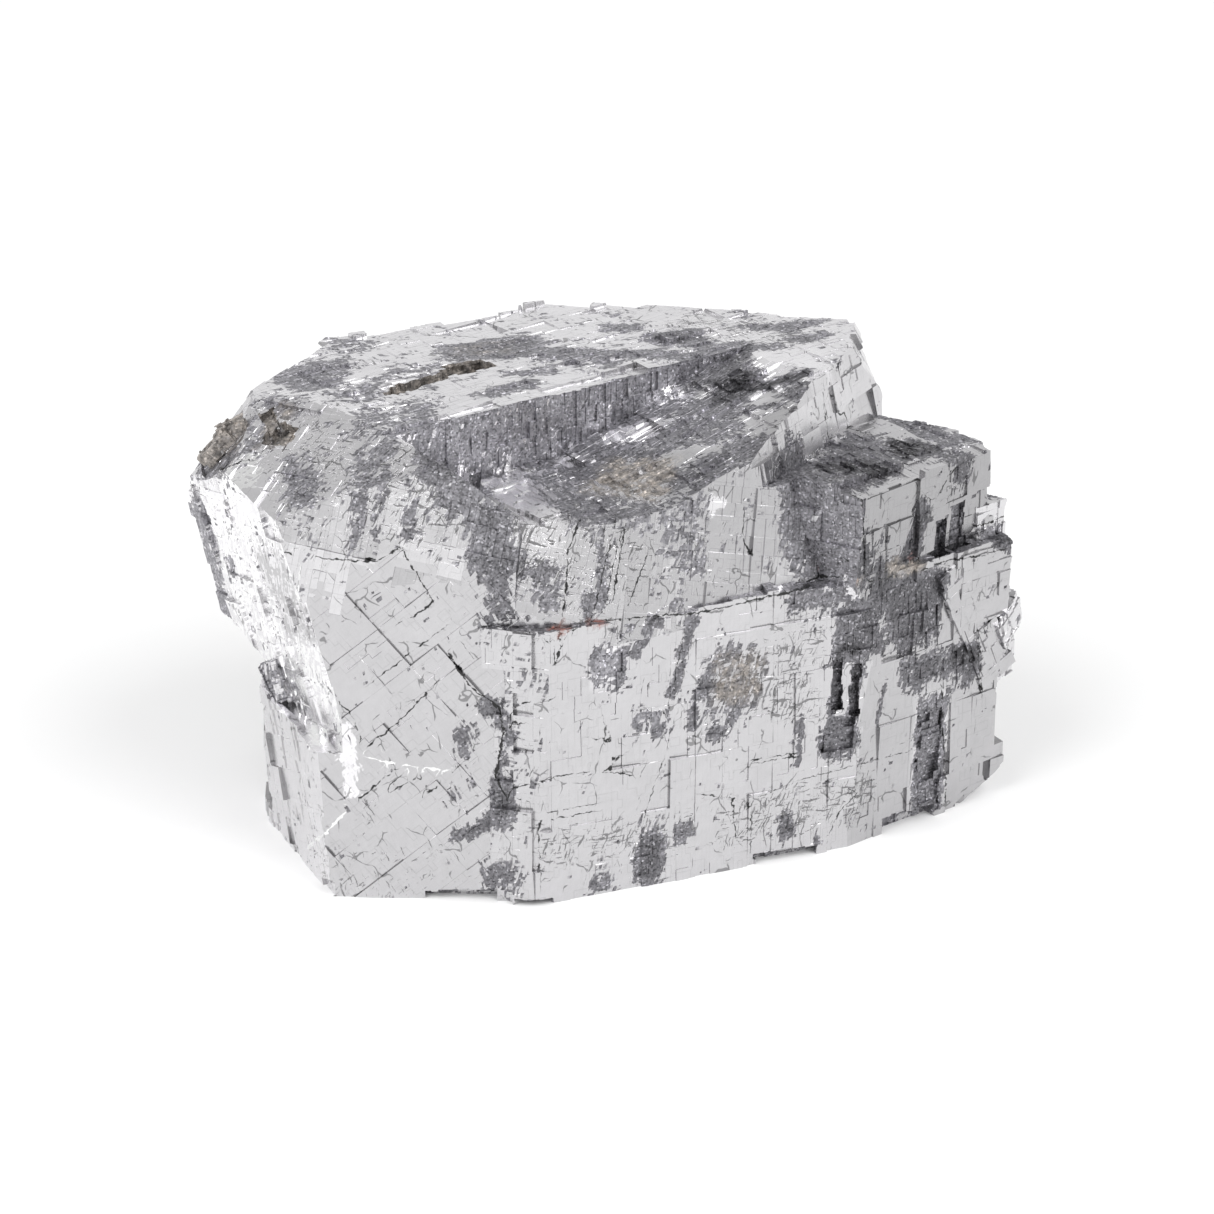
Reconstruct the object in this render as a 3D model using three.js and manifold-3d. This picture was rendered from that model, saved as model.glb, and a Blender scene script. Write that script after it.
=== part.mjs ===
// Galena hand specimen: one broken cleavage block of lead sulphide, resting on its flattest cleavage face.
// Units are millimetres, +Z is up, -Y is the front, and the origin is the middle of the block's box, at its base.
//
// Galena parts along three planes at right angles, so every surface is a staircase: wide flat terraces joined by
// low risers. The block is a few solids, each the space behind several terraced faces, that are joined and cut:
// the lower body, the tier that leans back above its crack, the buttress at the right, the cap with its plateau,
// its wall and the broken slope in front of that, the left end with its bevel, and the spur that runs from it.
import * as THREE from "three";
import { mergeVertices } from "three/addons/utils/BufferGeometryUtils.js";
import Module from "manifold-3d";

const wasm = await Module();
wasm.setup();
const { Manifold, Mesh } = wasm;

// ---- driving dimensions -------------------------------------------------------------------------------------

const PLATEAU_Z = 44; // top of the cap
const LEDGE_Z = 37.5; // top of the tier and of the buttress
const CRACK_Z = 28.6; // the cleavage crack that parts the lower body from the tier
const HEART_Z = 32; // top of the block's middle, which the upper parts cover
const SLAB_DEPTH = 90; // how far a face's solid reaches behind its terraces, more than the block's length
const RISER_RUN = 0.12; // a riser is this much off upright, so that no two of its edges meet

const LATTICE = 38; // heading of the crystal's first cleavage direction, in degrees from +X
const LEAD_GREY = 0xb9bbc0;

// ---- numbers that vary the terraces -------------------------------------------------------------------------

const fraction = (x) => x - Math.floor(x);
const hash = (i, j, seed) => fraction(Math.sin(i * 127.1 + j * 311.7 + seed * 74.7) * 43758.5453);
const ease = (t) => t * t * (3 - 2 * t);

/** Smooth noise from 0 to 1, with one hashed value at each whole x and y. */
function noise(x, y, seed) {
  const [i, j] = [Math.floor(x), Math.floor(y)];
  const [s, t] = [ease(x - i), ease(y - j)];
  const low = hash(i, j, seed) * (1 - s) + hash(i + 1, j, seed) * s;
  const high = hash(i, j + 1, seed) * (1 - s) + hash(i + 1, j + 1, seed) * s;
  return low * (1 - t) + high * t;
}

// ---- a terraced face and the solid behind it ----------------------------------------------------------------

/** The lines that part a face's cells along one direction: about `cell` apart within its reach, none past it. */
function latticeLines(reach, cell, seed) {
  const lines = [-SLAB_DEPTH, -reach];
  for (let k = 0; lines.at(-1) < reach; k++) lines.push(lines.at(-1) + cell * (0.5 + hash(k, 3, seed)));
  return [...lines, SLAB_DEPTH];
}

/** A cell's height: eased noise and a ragged part of the cell's own, in whole cleavage levels. */
function terraceHeight(face, u, v) {
  const [longU, longV] = face.grain;
  const swell = face.relief * (2 * noise(u / longU, v / longV, face.seed) - 1);
  const ragged = face.ragged * (2 * hash(u, v, face.seed) - 1);
  return face.level * Math.round((swell + ragged) / face.level);
}

/** The face's directions: u is level, turned by `turn` within the face, v is across it and n points out of it. */
function faceBasis({ heading, lean, turn }) {
  const [a, t, r] = [heading, lean, turn].map(THREE.MathUtils.degToRad);
  const n = new THREE.Vector3(Math.sin(a) * Math.cos(t), -Math.cos(a) * Math.cos(t), Math.sin(t));
  const level = new THREE.Vector3(Math.cos(a), Math.sin(a), 0);
  const u = level.applyAxisAngle(n, r);
  return { u, v: n.clone().cross(u), n };
}

/**
 * The solid behind a terraced face. Its cells share no edges: each keeps a strip RISER_RUN wide to the next one,
 * which is where the riser stands, so the front is one sheet over a grid whose lines come in pairs.
 */
function behind(options) {
  const face = {
    heading: 0, lean: 0, turn: 0, at: [0, 0, 0], reach: [38, 40],
    cell: [2.4, 2.4], relief: 0.8, ragged: 0.25, level: 0.5, grain: [7.5, 5], seed: 1,
    ...options,
  };
  const us = latticeLines(face.reach[0], face.cell[0], face.seed + 0.3);
  const vs = latticeLines(face.reach[1], face.cell[1], face.seed + 0.7);
  const paired = (lines) => [
    lines[0],
    ...lines.slice(1, -1).flatMap((x) => [x - RISER_RUN / 2, x + RISER_RUN / 2]),
    lines.at(-1),
  ];
  const [gu, gv] = [paired(us), paired(vs)];
  const middle = (lines, k) => (lines[k] + lines[k + 1]) / 2;
  const positions = [];
  for (let j = 0; j < gv.length; j++)
    for (let i = 0; i < gu.length; i++)
      positions.push(gu[i], gv[j], terraceHeight(face, middle(us, i >> 1), middle(vs, j >> 1)));
  const front = gu.length * gv.length;
  for (let j = 0; j < gv.length; j++) for (let i = 0; i < gu.length; i++) positions.push(gu[i], gv[j], -SLAB_DEPTH);

  const triangles = [];
  const at = (i, j) => j * gu.length + i;
  const quad = (a, b, c, d) => triangles.push(a, b, c, a, c, d);
  for (let j = 0; j + 1 < gv.length; j++)
    for (let i = 0; i + 1 < gu.length; i++) {
      quad(at(i, j), at(i + 1, j), at(i + 1, j + 1), at(i, j + 1));
      quad(front + at(i, j + 1), front + at(i + 1, j + 1), front + at(i + 1, j), front + at(i, j));
    }
  const [lastU, lastV] = [gu.length - 1, gv.length - 1];
  for (let i = 0; i < lastU; i++) {
    quad(at(i + 1, 0), at(i, 0), front + at(i, 0), front + at(i + 1, 0));
    quad(at(i, lastV), at(i + 1, lastV), front + at(i + 1, lastV), front + at(i, lastV));
  }
  for (let j = 0; j < lastV; j++) {
    quad(at(0, j), at(0, j + 1), front + at(0, j + 1), front + at(0, j));
    quad(at(lastU, j + 1), at(lastU, j), front + at(lastU, j), front + at(lastU, j + 1));
  }
  const geometry = new THREE.BufferGeometry();
  geometry.setAttribute("position", new THREE.Float32BufferAttribute(positions, 3));
  geometry.setIndex(triangles);
  const { u, v, n } = faceBasis(face);
  return solidOf(geometry, new THREE.Matrix4().makeBasis(u, v, n).setPosition(...face.at));
}

// ---- joining and cutting ------------------------------------------------------------------------------------

function solidOf(geometry, matrix) {
  const bare = geometry.clone().applyMatrix4(matrix);
  bare.deleteAttribute("normal");
  bare.deleteAttribute("uv");
  const merged = mergeVertices(bare, 1e-4);
  return new Manifold(
    new Mesh({
      numProp: 3,
      vertProperties: Float32Array.from(merged.attributes.position.array),
      triVerts: Uint32Array.from(merged.index.array),
    }),
  );
}

/** A small cleavage block with its edges along a face, given by its middle, its size and the face's angles. */
function block(middle, size, { heading = LATTICE, lean = 0, turn = 0 } = {}) {
  const { u, v, n } = faceBasis({ heading, lean, turn });
  return solidOf(new THREE.BoxGeometry(...size), new THREE.Matrix4().makeBasis(u, v, n).setPosition(...middle));
}

/** The space behind one plain plane, which only bounds a part where another part hides it. */
const within = (heading, lean, at) => behind({ heading, lean, at, relief: 0, ragged: 0, reach: [1, 1], cell: [9, 9] });

const common = (solids) => solids.reduce((all, one) => all.intersect(one));
const joined = (solids) => solids.reduce((all, one) => all.add(one));

// ---- the faces that more than one part of the block has -------------------------------------------------------

/** What the back faces share: wide terraces with high risers. */
const rough = { cell: [4.6, 4.2], relief: 2, ragged: 0.2, level: 0.9, grain: [15, 10] };
/** What most front faces share: long terraces with risers 0.3 mm high. */
const smooth = { cell: [3.2, 6], relief: 0.4, ragged: 0.1, level: 0.3, grain: [7.5, 5] };

const hidden = common([
  within(LATTICE, -90, [0, 0, 0]),
  behind({ ...rough, heading: -156, lean: 3, at: [-16, 17.5, PLATEAU_Z], seed: 41 }),
  behind({ ...rough, heading: 168, lean: 5, at: [9, 20, PLATEAU_Z], seed: 47 }),
  behind({ ...rough, heading: -117, lean: 27, at: [-31, 5, PLATEAU_Z], seed: 43, relief: 0.9 }),
  behind({ ...rough, heading: -110, lean: -8, at: [-40.3, -1, 33], seed: 45, relief: 0.9 }),
  behind({ ...smooth, lean: 90, heading: LATTICE, turn: -90, at: [0, 0, PLATEAU_Z], seed: 97, grain: [7, 18] }),
]);
const aboveCrack = within(0, -90, [0, 0, CRACK_Z - 2]);
const leftFront = behind({
  ...smooth, heading: -3, lean: 3.5, turn: 40, at: [-16, -23.6, 0],
  seed: 11, cell: [5, 3.4], grain: [12, 9], relief: 0.35, ragged: 0.04,
});
const lowerFront = common([
  behind({ ...smooth, heading: 20.5, lean: 1, at: [-6.4, -24.7, 0], seed: 53, grain: [12, 16], ragged: 0.05 }),
  behind({ ...smooth, heading: 36, at: [24, -13.4, 10], seed: 59, grain: [5, 9], relief: 0.3, ragged: 0.05 }),
]);
const tierFront = common([
  behind({
    ...smooth, heading: 29, lean: 17, turn: -15, at: [1.2, -21.7, 28.9],
    seed: 71, cell: [2.4, 5], grain: [4, 9], relief: 0.3,
  }),
  behind({
    ...smooth, heading: 0, lean: 16, turn: -12, at: [-1.5, -21.9, 29.5],
    seed: 72, cell: [2.4, 5], grain: [4, 9], relief: 0.5,
  }),
]);
const right = common([
  behind({ heading: 118, lean: 2, at: [38.8, -2.3, 27], seed: 61, relief: 0.6, cell: [4, 5] }),
  behind({ heading: 80, lean: -45, at: [37.5, -4.4, 1.4], seed: 63, relief: 0.4 }),
  behind({ ...rough, heading: 150, lean: 14, at: [29.4, 5.6, LEDGE_Z], seed: 62, relief: 1.6 }),
]);

// ---- the parts of the block -----------------------------------------------------------------------------------

/** The middle of the block, which the other parts grow out of. Little of it shows. */
const heart = common([
  hidden,
  leftFront,
  lowerFront,
  tierFront,
  right,
  within(-90, 0, [-22, 0, 0]),
  within(0, 90, [0, 0, HEART_Z]),
]);

const bevel = behind({
  ...smooth, heading: -40, lean: 62, turn: 8, at: [-27, -8.2, PLATEAU_Z], seed: 31, cell: [3, 3],
});
const band = behind({
  ...smooth, heading: -2, lean: 13, turn: -12, at: [-16.8, -19, PLATEAU_Z],
  seed: 13, cell: [2.6, 5], grain: [4, 10], relief: 0.5,
});

/** The left end: it leans out to the left above a hollow, and a bevel joins it to the plateau. */
const leftUpper = common([
  hidden,
  leftFront,
  band,
  bevel,
  behind({ heading: -82, lean: 40, at: [-37.5, -3, 39.6], seed: 33, relief: 0.5, cell: [3, 3] }),
  behind({
    ...smooth, heading: -58, lean: -10, turn: 12, at: [-29.6, -20.5, 34], seed: 23, cell: [3, 4], grain: [8, 10],
  }),
  behind({ heading: -75, lean: -41, at: [-33.1, -3, 15.6], seed: 25, relief: 0.6 }),
  within(90, 0, [-22, 0, PLATEAU_Z]),
]);

/** The spur: it runs right from the left end, below the plateau, and its back slopes down to the recess. */
const spur = common([
  hidden,
  leftFront,
  band,
  bevel,
  within(-90, 0, [-25, 0, PLATEAU_Z]),
  behind({ ...smooth, heading: 124, lean: 47, at: [-15.9, -19.3, PLATEAU_Z], seed: 27 }),
  behind({ ...smooth, heading: 78, at: [-8, -20, 37], seed: 28 }),
]);
const leftLower = common([
  hidden,
  leftFront,
  lowerFront,
  right,
  behind({
    heading: -64, lean: -2, turn: 20, at: [-31.4, -12.9, 0], seed: 29,
    relief: 0.5, ragged: 0.15, level: 0.3, grain: [6, 8],
  }),
  behind({ heading: -86, lean: 1, at: [-34.3, -2, 8], seed: 38, relief: 0.7, cell: [4, 3] }),
  behind({ lean: 84, heading: -60, at: [-33, -3, 15.5], seed: 37, relief: 0.4 }),
]);

/** The lower body's front and right, up to the crack. */
const lowerRight = common([
  hidden,
  behind({ heading: -14, lean: 2, at: [-6.4, -24.8, 0], seed: 52, relief: 0.6 }),
  behind({ heading: -85, at: [-11, -25, 15], seed: 51, relief: 1.5, ragged: 0.5, grain: [9, 7] }),
  lowerFront,
  right,
  behind({ lean: 90, heading: 20, at: [0, 0, CRACK_Z], relief: 0.4, level: 0.4, seed: 67 }),
]);

/** The tier above the crack, which leans back. Its top is the dark ledge between the band and the buttress. */
const tier = common([
  hidden,
  aboveCrack,
  within(-90, 0, [-12, 0, 30]),
  leftFront,
  tierFront,
  right,
  behind({ ...smooth, lean: 90, heading: LATTICE, at: [0, 0, LEDGE_Z], seed: 79, cell: [3, 3], relief: 0.25 }),
]);

/** The buttress at the right, which stands out from the tier. */
const buttress = common([
  hidden,
  aboveCrack,
  behind({ ...smooth, heading: 42, at: [24, -13.5, 30], seed: 83, cell: [2.6, 4], grain: [5, 10] }),
  behind({ ...smooth, heading: -32, at: [24, -13.5, 30], seed: 87, cell: [2.4, 2.4], relief: 0.3 }),
  right,
  behind({ lean: 90, heading: LATTICE, at: [0, 0, LEDGE_Z], relief: 0.6, level: 0.6, seed: 91, cell: [3, 3] }),
]);

/** The cap: the plateau stops at an upright wall, and broken ground rises from the wall's foot to the right. */
const capEnd = common([
  hidden,
  aboveCrack,
  within(-90, 0, [-25, 0, PLATEAU_Z]),
  bevel,
  behind({ heading: 90, lean: 30, at: [24.5, 8, PLATEAU_Z], seed: 101, relief: 0.7, cell: [3, 3] }),
  behind({ heading: 100, at: [28.2, 4, LEDGE_Z], seed: 102, relief: 0.6 }),
]);
const plateau = common([
  capEnd,
  behind({
    heading: 35, at: [-4.5, -2.5, PLATEAU_Z], seed: 107, cell: [2.2, 7], grain: [7, 20],
    relief: 0.4, ragged: 0.15, level: 0.4,
  }),
]);
const brokenGround = common([
  capEnd,
  within(-90, 0, [-12, 0, 30]),
  leftFront,
  tierFront,
  behind({
    heading: -55, lean: 73, at: [-2.8, -3.8, LEDGE_Z], seed: 109, cell: [4, 2.4],
    relief: 0.6, ragged: 0.2, level: 0.3,
  }),
  behind({ ...smooth, heading: 59, lean: 15, at: [18.7, -4.4, LEDGE_Z], seed: 103, cell: [3, 4], relief: 0.3 }),
]);

/** Small blocks that stand out: the crystals at the left end, and the right end's plate, bump and step. */
const proud = joined([
  block([-30.2, -10.6, 18.1], [4.4, 4, 4.6], { heading: -20, lean: 4, turn: 25 }),
  block([-36.8, -5, 39.2], [4.4, 2.4, 3.2], { heading: 0, turn: 43 }),
  block([-35.3, -4.7, 40.7], [3, 2.6, 3], { heading: -20, turn: 25 }),
  block([35.6, -3, 20.4], [4.5, 15, 3.6], { heading: 36, turn: 25 }),
  block([36.2, -2.6, 24.4], [6.3, 7.8, 3.6], { heading: 36 }),
  block([36.5, 0.5, 29.5], [4, 4.2, 4], { heading: 42 }),
  block([38.3, 0.2, 19.1], [4.6, 3.6, 5], { heading: 56, turn: 25 }),
  block([37.7, 0.4, 15.2], [4.6, 5.8, 5], { heading: 56 }),
]);

/** Pits and grooves in the plateau, the spur's foot, the bevel, the buttress and the lower right, and four chips. */
const sunk = joined([
  block([-17.5, -0.1, PLATEAU_Z], [8, 1.8, 1.8], { heading: 45, lean: 90 }),
  block([-13.6, 3.6, PLATEAU_Z], [4.6, 2.6, 2.4], { heading: 36, lean: 90 }),
  block([-20, -2.4, PLATEAU_Z], [3, 1.4, 1.4], { heading: 60, lean: 90 }),
  block([-16.2, -14, PLATEAU_Z], [4, 3, 2.8], { heading: LATTICE, lean: 90 }),
  block([-31.9, -7.3, 42.7], [5, 1.5, 2], { heading: -40, lean: 62, turn: -30 }),
  block([-31.1, -9, 42.2], [3.2, 2.6, 2.8], { heading: -40, lean: 62, turn: 5 }),
  block([32.3, -6, 30.2], [1.8, 4, 2.6], { heading: 42 }),
  block([34.2, -4.3, 30.6], [2.2, 5.4, 2.6], { heading: 42 }),
  block([31.8, -7.7, 6.5], [3.2, 11.4, 0.8], { heading: 36 }),
  block([22.2, -13.6, 18], [0.9, 5.6, 1], { heading: 21 }),
  block([24, -13, 17.1], [1, 5.6, 1], { heading: 21 }),
  block([22.4, -13.7, 12.7], [3.6, 3.4, 0.8], { heading: 21 }),
  block([-14, -24, 0], [7, 2, 3], { heading: -3, turn: 3 }),
  block([-7, -24.8, 0], [4, 1.2, 3], { heading: 5 }),
  block([17.6, -15.8, 0], [6.6, 2.6, 3], { heading: 20.5 }),
  block([30.2, -9, 0], [6.6, 3.4, 3], { heading: 36, turn: -3 }),
]);

const grown = joined([heart, leftUpper, spur, leftLower, lowerRight, tier, buttress, plateau, brokenGround, proud])
  .subtract(sunk)
  .asOriginal()
  .simplify(0.01);

/** The parts' terraces can seal a pocket of air between them, so only the skin round the largest body is kept. */
const galena = grown.decompose().reduce((largest, body) => (body.volume() > largest.volume() ? body : largest));

// ---- the specimen -------------------------------------------------------------------------------------------

function meshOf(name, solid, colour) {
  const { numProp, numVert, vertProperties, triVerts } = solid.getMesh();
  const positions = new Float32Array(numVert * 3);
  for (let k = 0; k < numVert; k++) positions.set(vertProperties.subarray(k * numProp, k * numProp + 3), 3 * k);
  const geometry = new THREE.BufferGeometry();
  geometry.setAttribute("position", new THREE.BufferAttribute(positions, 3));
  geometry.setIndex(new THREE.BufferAttribute(triVerts, 1));
  geometry.computeVertexNormals();
  const finish = { color: colour, metalness: 0.9, roughness: 0.3, flatShading: true };
  const material = new THREE.MeshStandardMaterial(finish);
  const mesh = new THREE.Mesh(geometry, material);
  mesh.name = name;
  return mesh;
}

const specimen = new THREE.Group();
specimen.add(meshOf("galena_block", galena, LEAD_GREY));
const middle = new THREE.Box3().setFromObject(specimen, true).getCenter(new THREE.Vector3());
specimen.position.set(-middle.x, -middle.y, 0);

export default specimen;
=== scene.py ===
"""Looks of a galena hand specimen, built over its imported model.

Galena breaks along three planes at right angles, so every side of a block is a staircase of bright flat
terraces. Each side is one terraced sheet, worked out with numpy as a height over a lattice of cells and
closed into the solid behind it. The solids are met, joined and cut in the order of the part's own source,
whose faces stand at the same places. Here each of its cells is split into finer ones, and the smoothest
faces have a lower relief. Lengths are millimetres, in the frame that the faces are placed in, until the
finished mesh is brought to metres in the row frame.
"""

from dataclasses import dataclass, replace
from functools import partial

import bmesh
import bpy
import numpy as np
from bpy.props import FloatProperty, FloatVectorProperty, PointerProperty
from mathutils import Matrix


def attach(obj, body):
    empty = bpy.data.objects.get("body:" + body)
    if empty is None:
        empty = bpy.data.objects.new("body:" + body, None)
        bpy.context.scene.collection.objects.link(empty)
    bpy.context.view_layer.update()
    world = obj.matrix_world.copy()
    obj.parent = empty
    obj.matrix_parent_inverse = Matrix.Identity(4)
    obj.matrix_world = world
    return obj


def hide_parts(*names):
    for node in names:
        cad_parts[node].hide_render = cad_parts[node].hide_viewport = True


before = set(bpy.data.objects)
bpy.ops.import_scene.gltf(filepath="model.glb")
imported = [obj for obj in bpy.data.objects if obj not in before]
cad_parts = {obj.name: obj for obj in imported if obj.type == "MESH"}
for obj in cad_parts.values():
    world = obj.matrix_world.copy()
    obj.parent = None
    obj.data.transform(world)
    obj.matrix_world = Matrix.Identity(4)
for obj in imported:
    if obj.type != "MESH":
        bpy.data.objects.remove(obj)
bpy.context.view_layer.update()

bl_info = {
    "name": "Galena specimen",
    "version": (1, 0, 0),
    "blender": (4, 5, 0),
    "location": "3D View > Sidebar > Galena",
    "description": "Dresses the packed model of a galena cleavage block",
    "category": "Add Mesh",
}

MM = 0.001

PLATEAU_Z = 44.0  # top of the cap
LEDGE_Z = 37.5  # top of the tier and of the buttress
CRACK_Z = 28.6  # the cleavage crack that parts the lower body from the tier
HEART_Z = 32.0  # top of the block's middle, which the upper parts cover
LATTICE = 38.0  # heading of the crystal's first cleavage direction, in degrees from +X
MIDDLE = (0.3961, 1.1877, 0.0)  # middle of the block's base

SLAB_DEPTH = 90.0  # how far a face's solid reaches behind its terraces
MOST_CELLS = 400  # in a row, before the row is cut at the face's reach
LINE_SHIFT = 0.6  # the range that a fine line strays in, as a share of the distance between two
RISER_RUN = 0.04  # how far a riser is off upright
FINE_LEVEL = 0.1  # height of one step of the finest terraces
FINE_HEIGHT = 0.5  # height of the groups that they rise in
FINE_SPAN = 2.4  # width of such a group, for a `fine` of 1
GRIT_HEIGHT = 0.3  # from the lowest to the highest grain of granular ground
BUSY_SPAN = (8, 6)  # how far it is from a busy part of a face to a calm one, along u and v
CALM = 0.15  # the share of its fine steps that a calm part keeps
CELL_TILT = 0.05  # steepest slope of a coarse cell, about 3 degrees
GRAIN_TILT = 0.08  # steepest slope that granular ground adds to a fine cell
EDGE_SPARE = 3.0  # how far past its reach a face's cells still tilt
CRACK_DEPTH = 1.5  # how far off its face a crack still shows in full
CRACK_FADE = 1.7  # how far from a crack its ink ends; it is full up to 1 mm nearer

# Of these, the tone also paints light and shade, and the glint finish paints highlights.
FINISHES = ("dull", "tone", "warm", "rust", "streaky", "painted_glint")  # quantities that faces and patches set
SHARP = (0.45, 0.55)  # the range of a quantity over which one finish gives way to another
TRACE_LEAN = -0.33  # how far the second cleavage trace leans for each millimetre along it, about 18 degrees
GRAIN = 0.18 * MM  # width of a grain in granular ground
DARK_GRAIN, GLINT_GRAIN = 0.4, 2.6  # the shades of the darkest grain and of the brightest, which is a painted glint
CRUMB = MM / 0.9  # width of a crumb of gangue
HAIRLINE = 0.08  # width of a hairline
LINE_WAVER = 0.3  # how far a long crack wavers to either side
LINE_HALF = 0.19  # half the width of a long crack with an ink of 1, where it is widest
LINE_DARK, VEIN_PALE = 0.05, 0.9  # the greys of a long crack and of a pale vein
CALM_SHADE = 0.78  # brightness of a cleavage face before striations and smudges are added
RISER_HIGH, RISER_PAINTED_SHADE = 0.4, 0.58  # a riser that is this high or higher gets this much painted shade: its colour is multiplied by it
PAINTED_GLINT_GAIN = 1.55  # how much brighter the painted glint makes its ground
ROUGHNESS = (0.22, 0.5)  # of a cleavage face, and of granular ground
BUMP_HEIGHT = 0.3 * MM

AIM = (0.0, 0.0, 20.0)  # what the camera looks at
SENSOR = 36  # width of the camera's frame, in millimetres
NEAR_CLIP = 0.01  # metres, as are the sizes and places below
FLOOR_RINGS = (0.08, 1.2, 4.0)
FLOOR_SIDES = 96
SOFTBOXES = {"softbox_left": (-0.65, -0.5, 0.85), "softbox_right": (0.7, -0.45, 0.85)}
SOFTBOX_SIZE = 0.9
SOFTBOX_POWER = 7.0  # watts
SKY_TURN = (0.45, 0.75)  # the heights, from 0 level to 1 overhead, between which the sky darkens
SKY_TOP = 0.72  # its strength overhead


def linear(hex_colour):
    """Linear RGB of an sRGB hex value: each channel is brought to 0..1 and has the sRGB curve undone."""
    srgb = np.array([int(hex_colour[k : k + 2], 16) for k in (0, 2, 4)]) / 255
    return tuple(float(c) for c in np.where(srgb <= 0.04045, srgb / 12.92, ((srgb + 0.055) / 1.055) ** 2.4))


# ---- settings ----


def colour_setting(name, description, hex_colour):
    """A colour that the user may change."""
    return FloatVectorProperty(
        name=name, description=description, default=linear(hex_colour), subtype="COLOR", min=0, max=1
    )


class GalenaSettings(bpy.types.PropertyGroup):
    """Sizes and colours of the block."""

    terrace: FloatProperty(
        name="Terrace width",
        description="Width of the narrowest terraces, which the longer ones are worked out from",
        default=0.6 * MM, min=0.3 * MM, subtype="DISTANCE", unit="LENGTH",
    )
    cleaved: colour_setting("Cleaved galena", "Colour of a fresh cleavage face", "D5D4D6")
    granular: colour_setting("Granular galena", "Colour of the dull ground of many small steps", "88878B")
    gangue: colour_setting("Gangue", "Colour of the brown carbonate in the pockets", "7F7973")
    rust: colour_setting("Rust", "Colour of the iron stain in the crack", "8A5448")


class StageSettings(bpy.types.PropertyGroup):
    """Floor, camera and lights."""

    lens: FloatProperty(
        name="Lens", description="Focal length for a 36 mm frame",
        default=100, min=20, subtype="DISTANCE_CAMERA",
    )
    distance: FloatProperty(
        name="Distance", description="From the camera to the point it looks at",
        default=337.2 * MM, min=100 * MM, subtype="DISTANCE", unit="LENGTH",
    )
    elevation: FloatProperty(
        name="Elevation", description="How far the camera looks down",
        default=float(np.radians(25)), subtype="ANGLE",
    )
    floor: colour_setting("Floor", "Colour of the floor", "F7F7F7")


# ---- numbers that vary the terraces ----


def hashed(i, j, seed):
    """A number from 0 to 1 for each i and j: the fraction of a large multiple of a sine."""
    x = np.sin(i * 127.1 + j * 311.7 + seed * 74.7) * 43758.5453
    return x - np.floor(x)


def noise(x, y, seed):
    """Smooth noise from 0 to 1: a hashed value at each whole x and y, eased between the four near a point."""
    i, j = np.floor(x), np.floor(y)
    s, t = x - i, y - j
    s, t = s * s * (3 - 2 * s), t * t * (3 - 2 * t)
    low = hashed(i, j, seed) * (1 - s) + hashed(i + 1, j, seed) * s
    high = hashed(i, j + 1, seed) * (1 - s) + hashed(i + 1, j + 1, seed) * s
    return low * (1 - t) + high * t


def whole(height, level):
    """The height brought to the nearest whole number of levels."""
    return level * np.floor(height / level + 0.5)


# ---- faces ----


@dataclass(frozen=True)
class Face:
    """A terraced cleavage face: which way it faces, a point on it, how its terraces vary, and its finish.

    Its coarse cells are about `cell` wide. Their heights wander by `relief` over a distance of `grain`, and
    by `ragged` from cell to cell, in steps of `level`. `fine` and `steps` are the widths and the heights
    of the terraces within them, against the usual ones.
    """

    heading: float = 0.0
    lean: float = 0.0
    at: tuple = (0.0, 0.0, 0.0)
    turn: float = 0.0
    reach: tuple = (38.0, 40.0)
    cell: tuple = (2.4, 2.4)
    grain: tuple = (7.5, 5.0)
    relief: float = 0.4
    ragged: float = 0.1
    level: float = 0.3
    seed: float = 1.0
    fine: tuple = (1, 3)
    steps: float = 1.0
    dull: float = 0.1
    # The tone multiplies the brightness: the ground's own tone, and painted light and shade that make one face
    # lighter or darker than another.
    tone: float = 1.0
    warm: float = 0.0
    rust: float = 0.0
    streaky: float = 0.2
    # The glint finish is a painted highlight: ground painted brighter, as if it threw the light straight back.
    painted_glint: float = 0.0

    def basis(self):
        """Rows u, v and n. n points out, u is level and then turned within the face, and v is n cross u."""
        a, t, r = np.radians([self.heading, self.lean, self.turn])
        n = np.array([np.sin(a) * np.cos(t), -np.cos(a) * np.cos(t), np.sin(t)])
        level = np.array([np.cos(a), np.sin(a), 0])
        u = level * np.cos(r) + np.cross(n, level) * np.sin(r)
        return np.array([u, np.cross(n, u), n])


@dataclass
class Patch:
    """A box of ground with one quantity of its finish changed, on whichever cells lie inside it.

    dull runs from 0, mirror-bright, to 1, granular. The tone multiplies the brightness, both as the ground's
    own tone and as painted light and shade. warm and rust are stains, streaky is how thickly slivers stand,
    and the
    glint finish is a painted highlight: ground painted brighter, as if it threw the light straight back.
    The box lies on a face, turned within it, and reaches `half` along it either way and `deep` through it.
    """

    what: str
    face: Face
    value: float
    at: tuple
    half: tuple
    turn: float = 0.0
    soft: float = 1.0
    deep: float = 3.0

    def share(self, points):
        """1 well inside the box, 0 well outside, rising across its edge over twice `soft`."""
        basis = replace(self.face, turn=self.face.turn + self.turn).basis()
        inside = np.array([*self.half, self.deep]) - abs((points - self.at) @ basis.T)
        return np.clip(0.5 + inside.min(-1) / (2 * self.soft), 0, 1)


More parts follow.
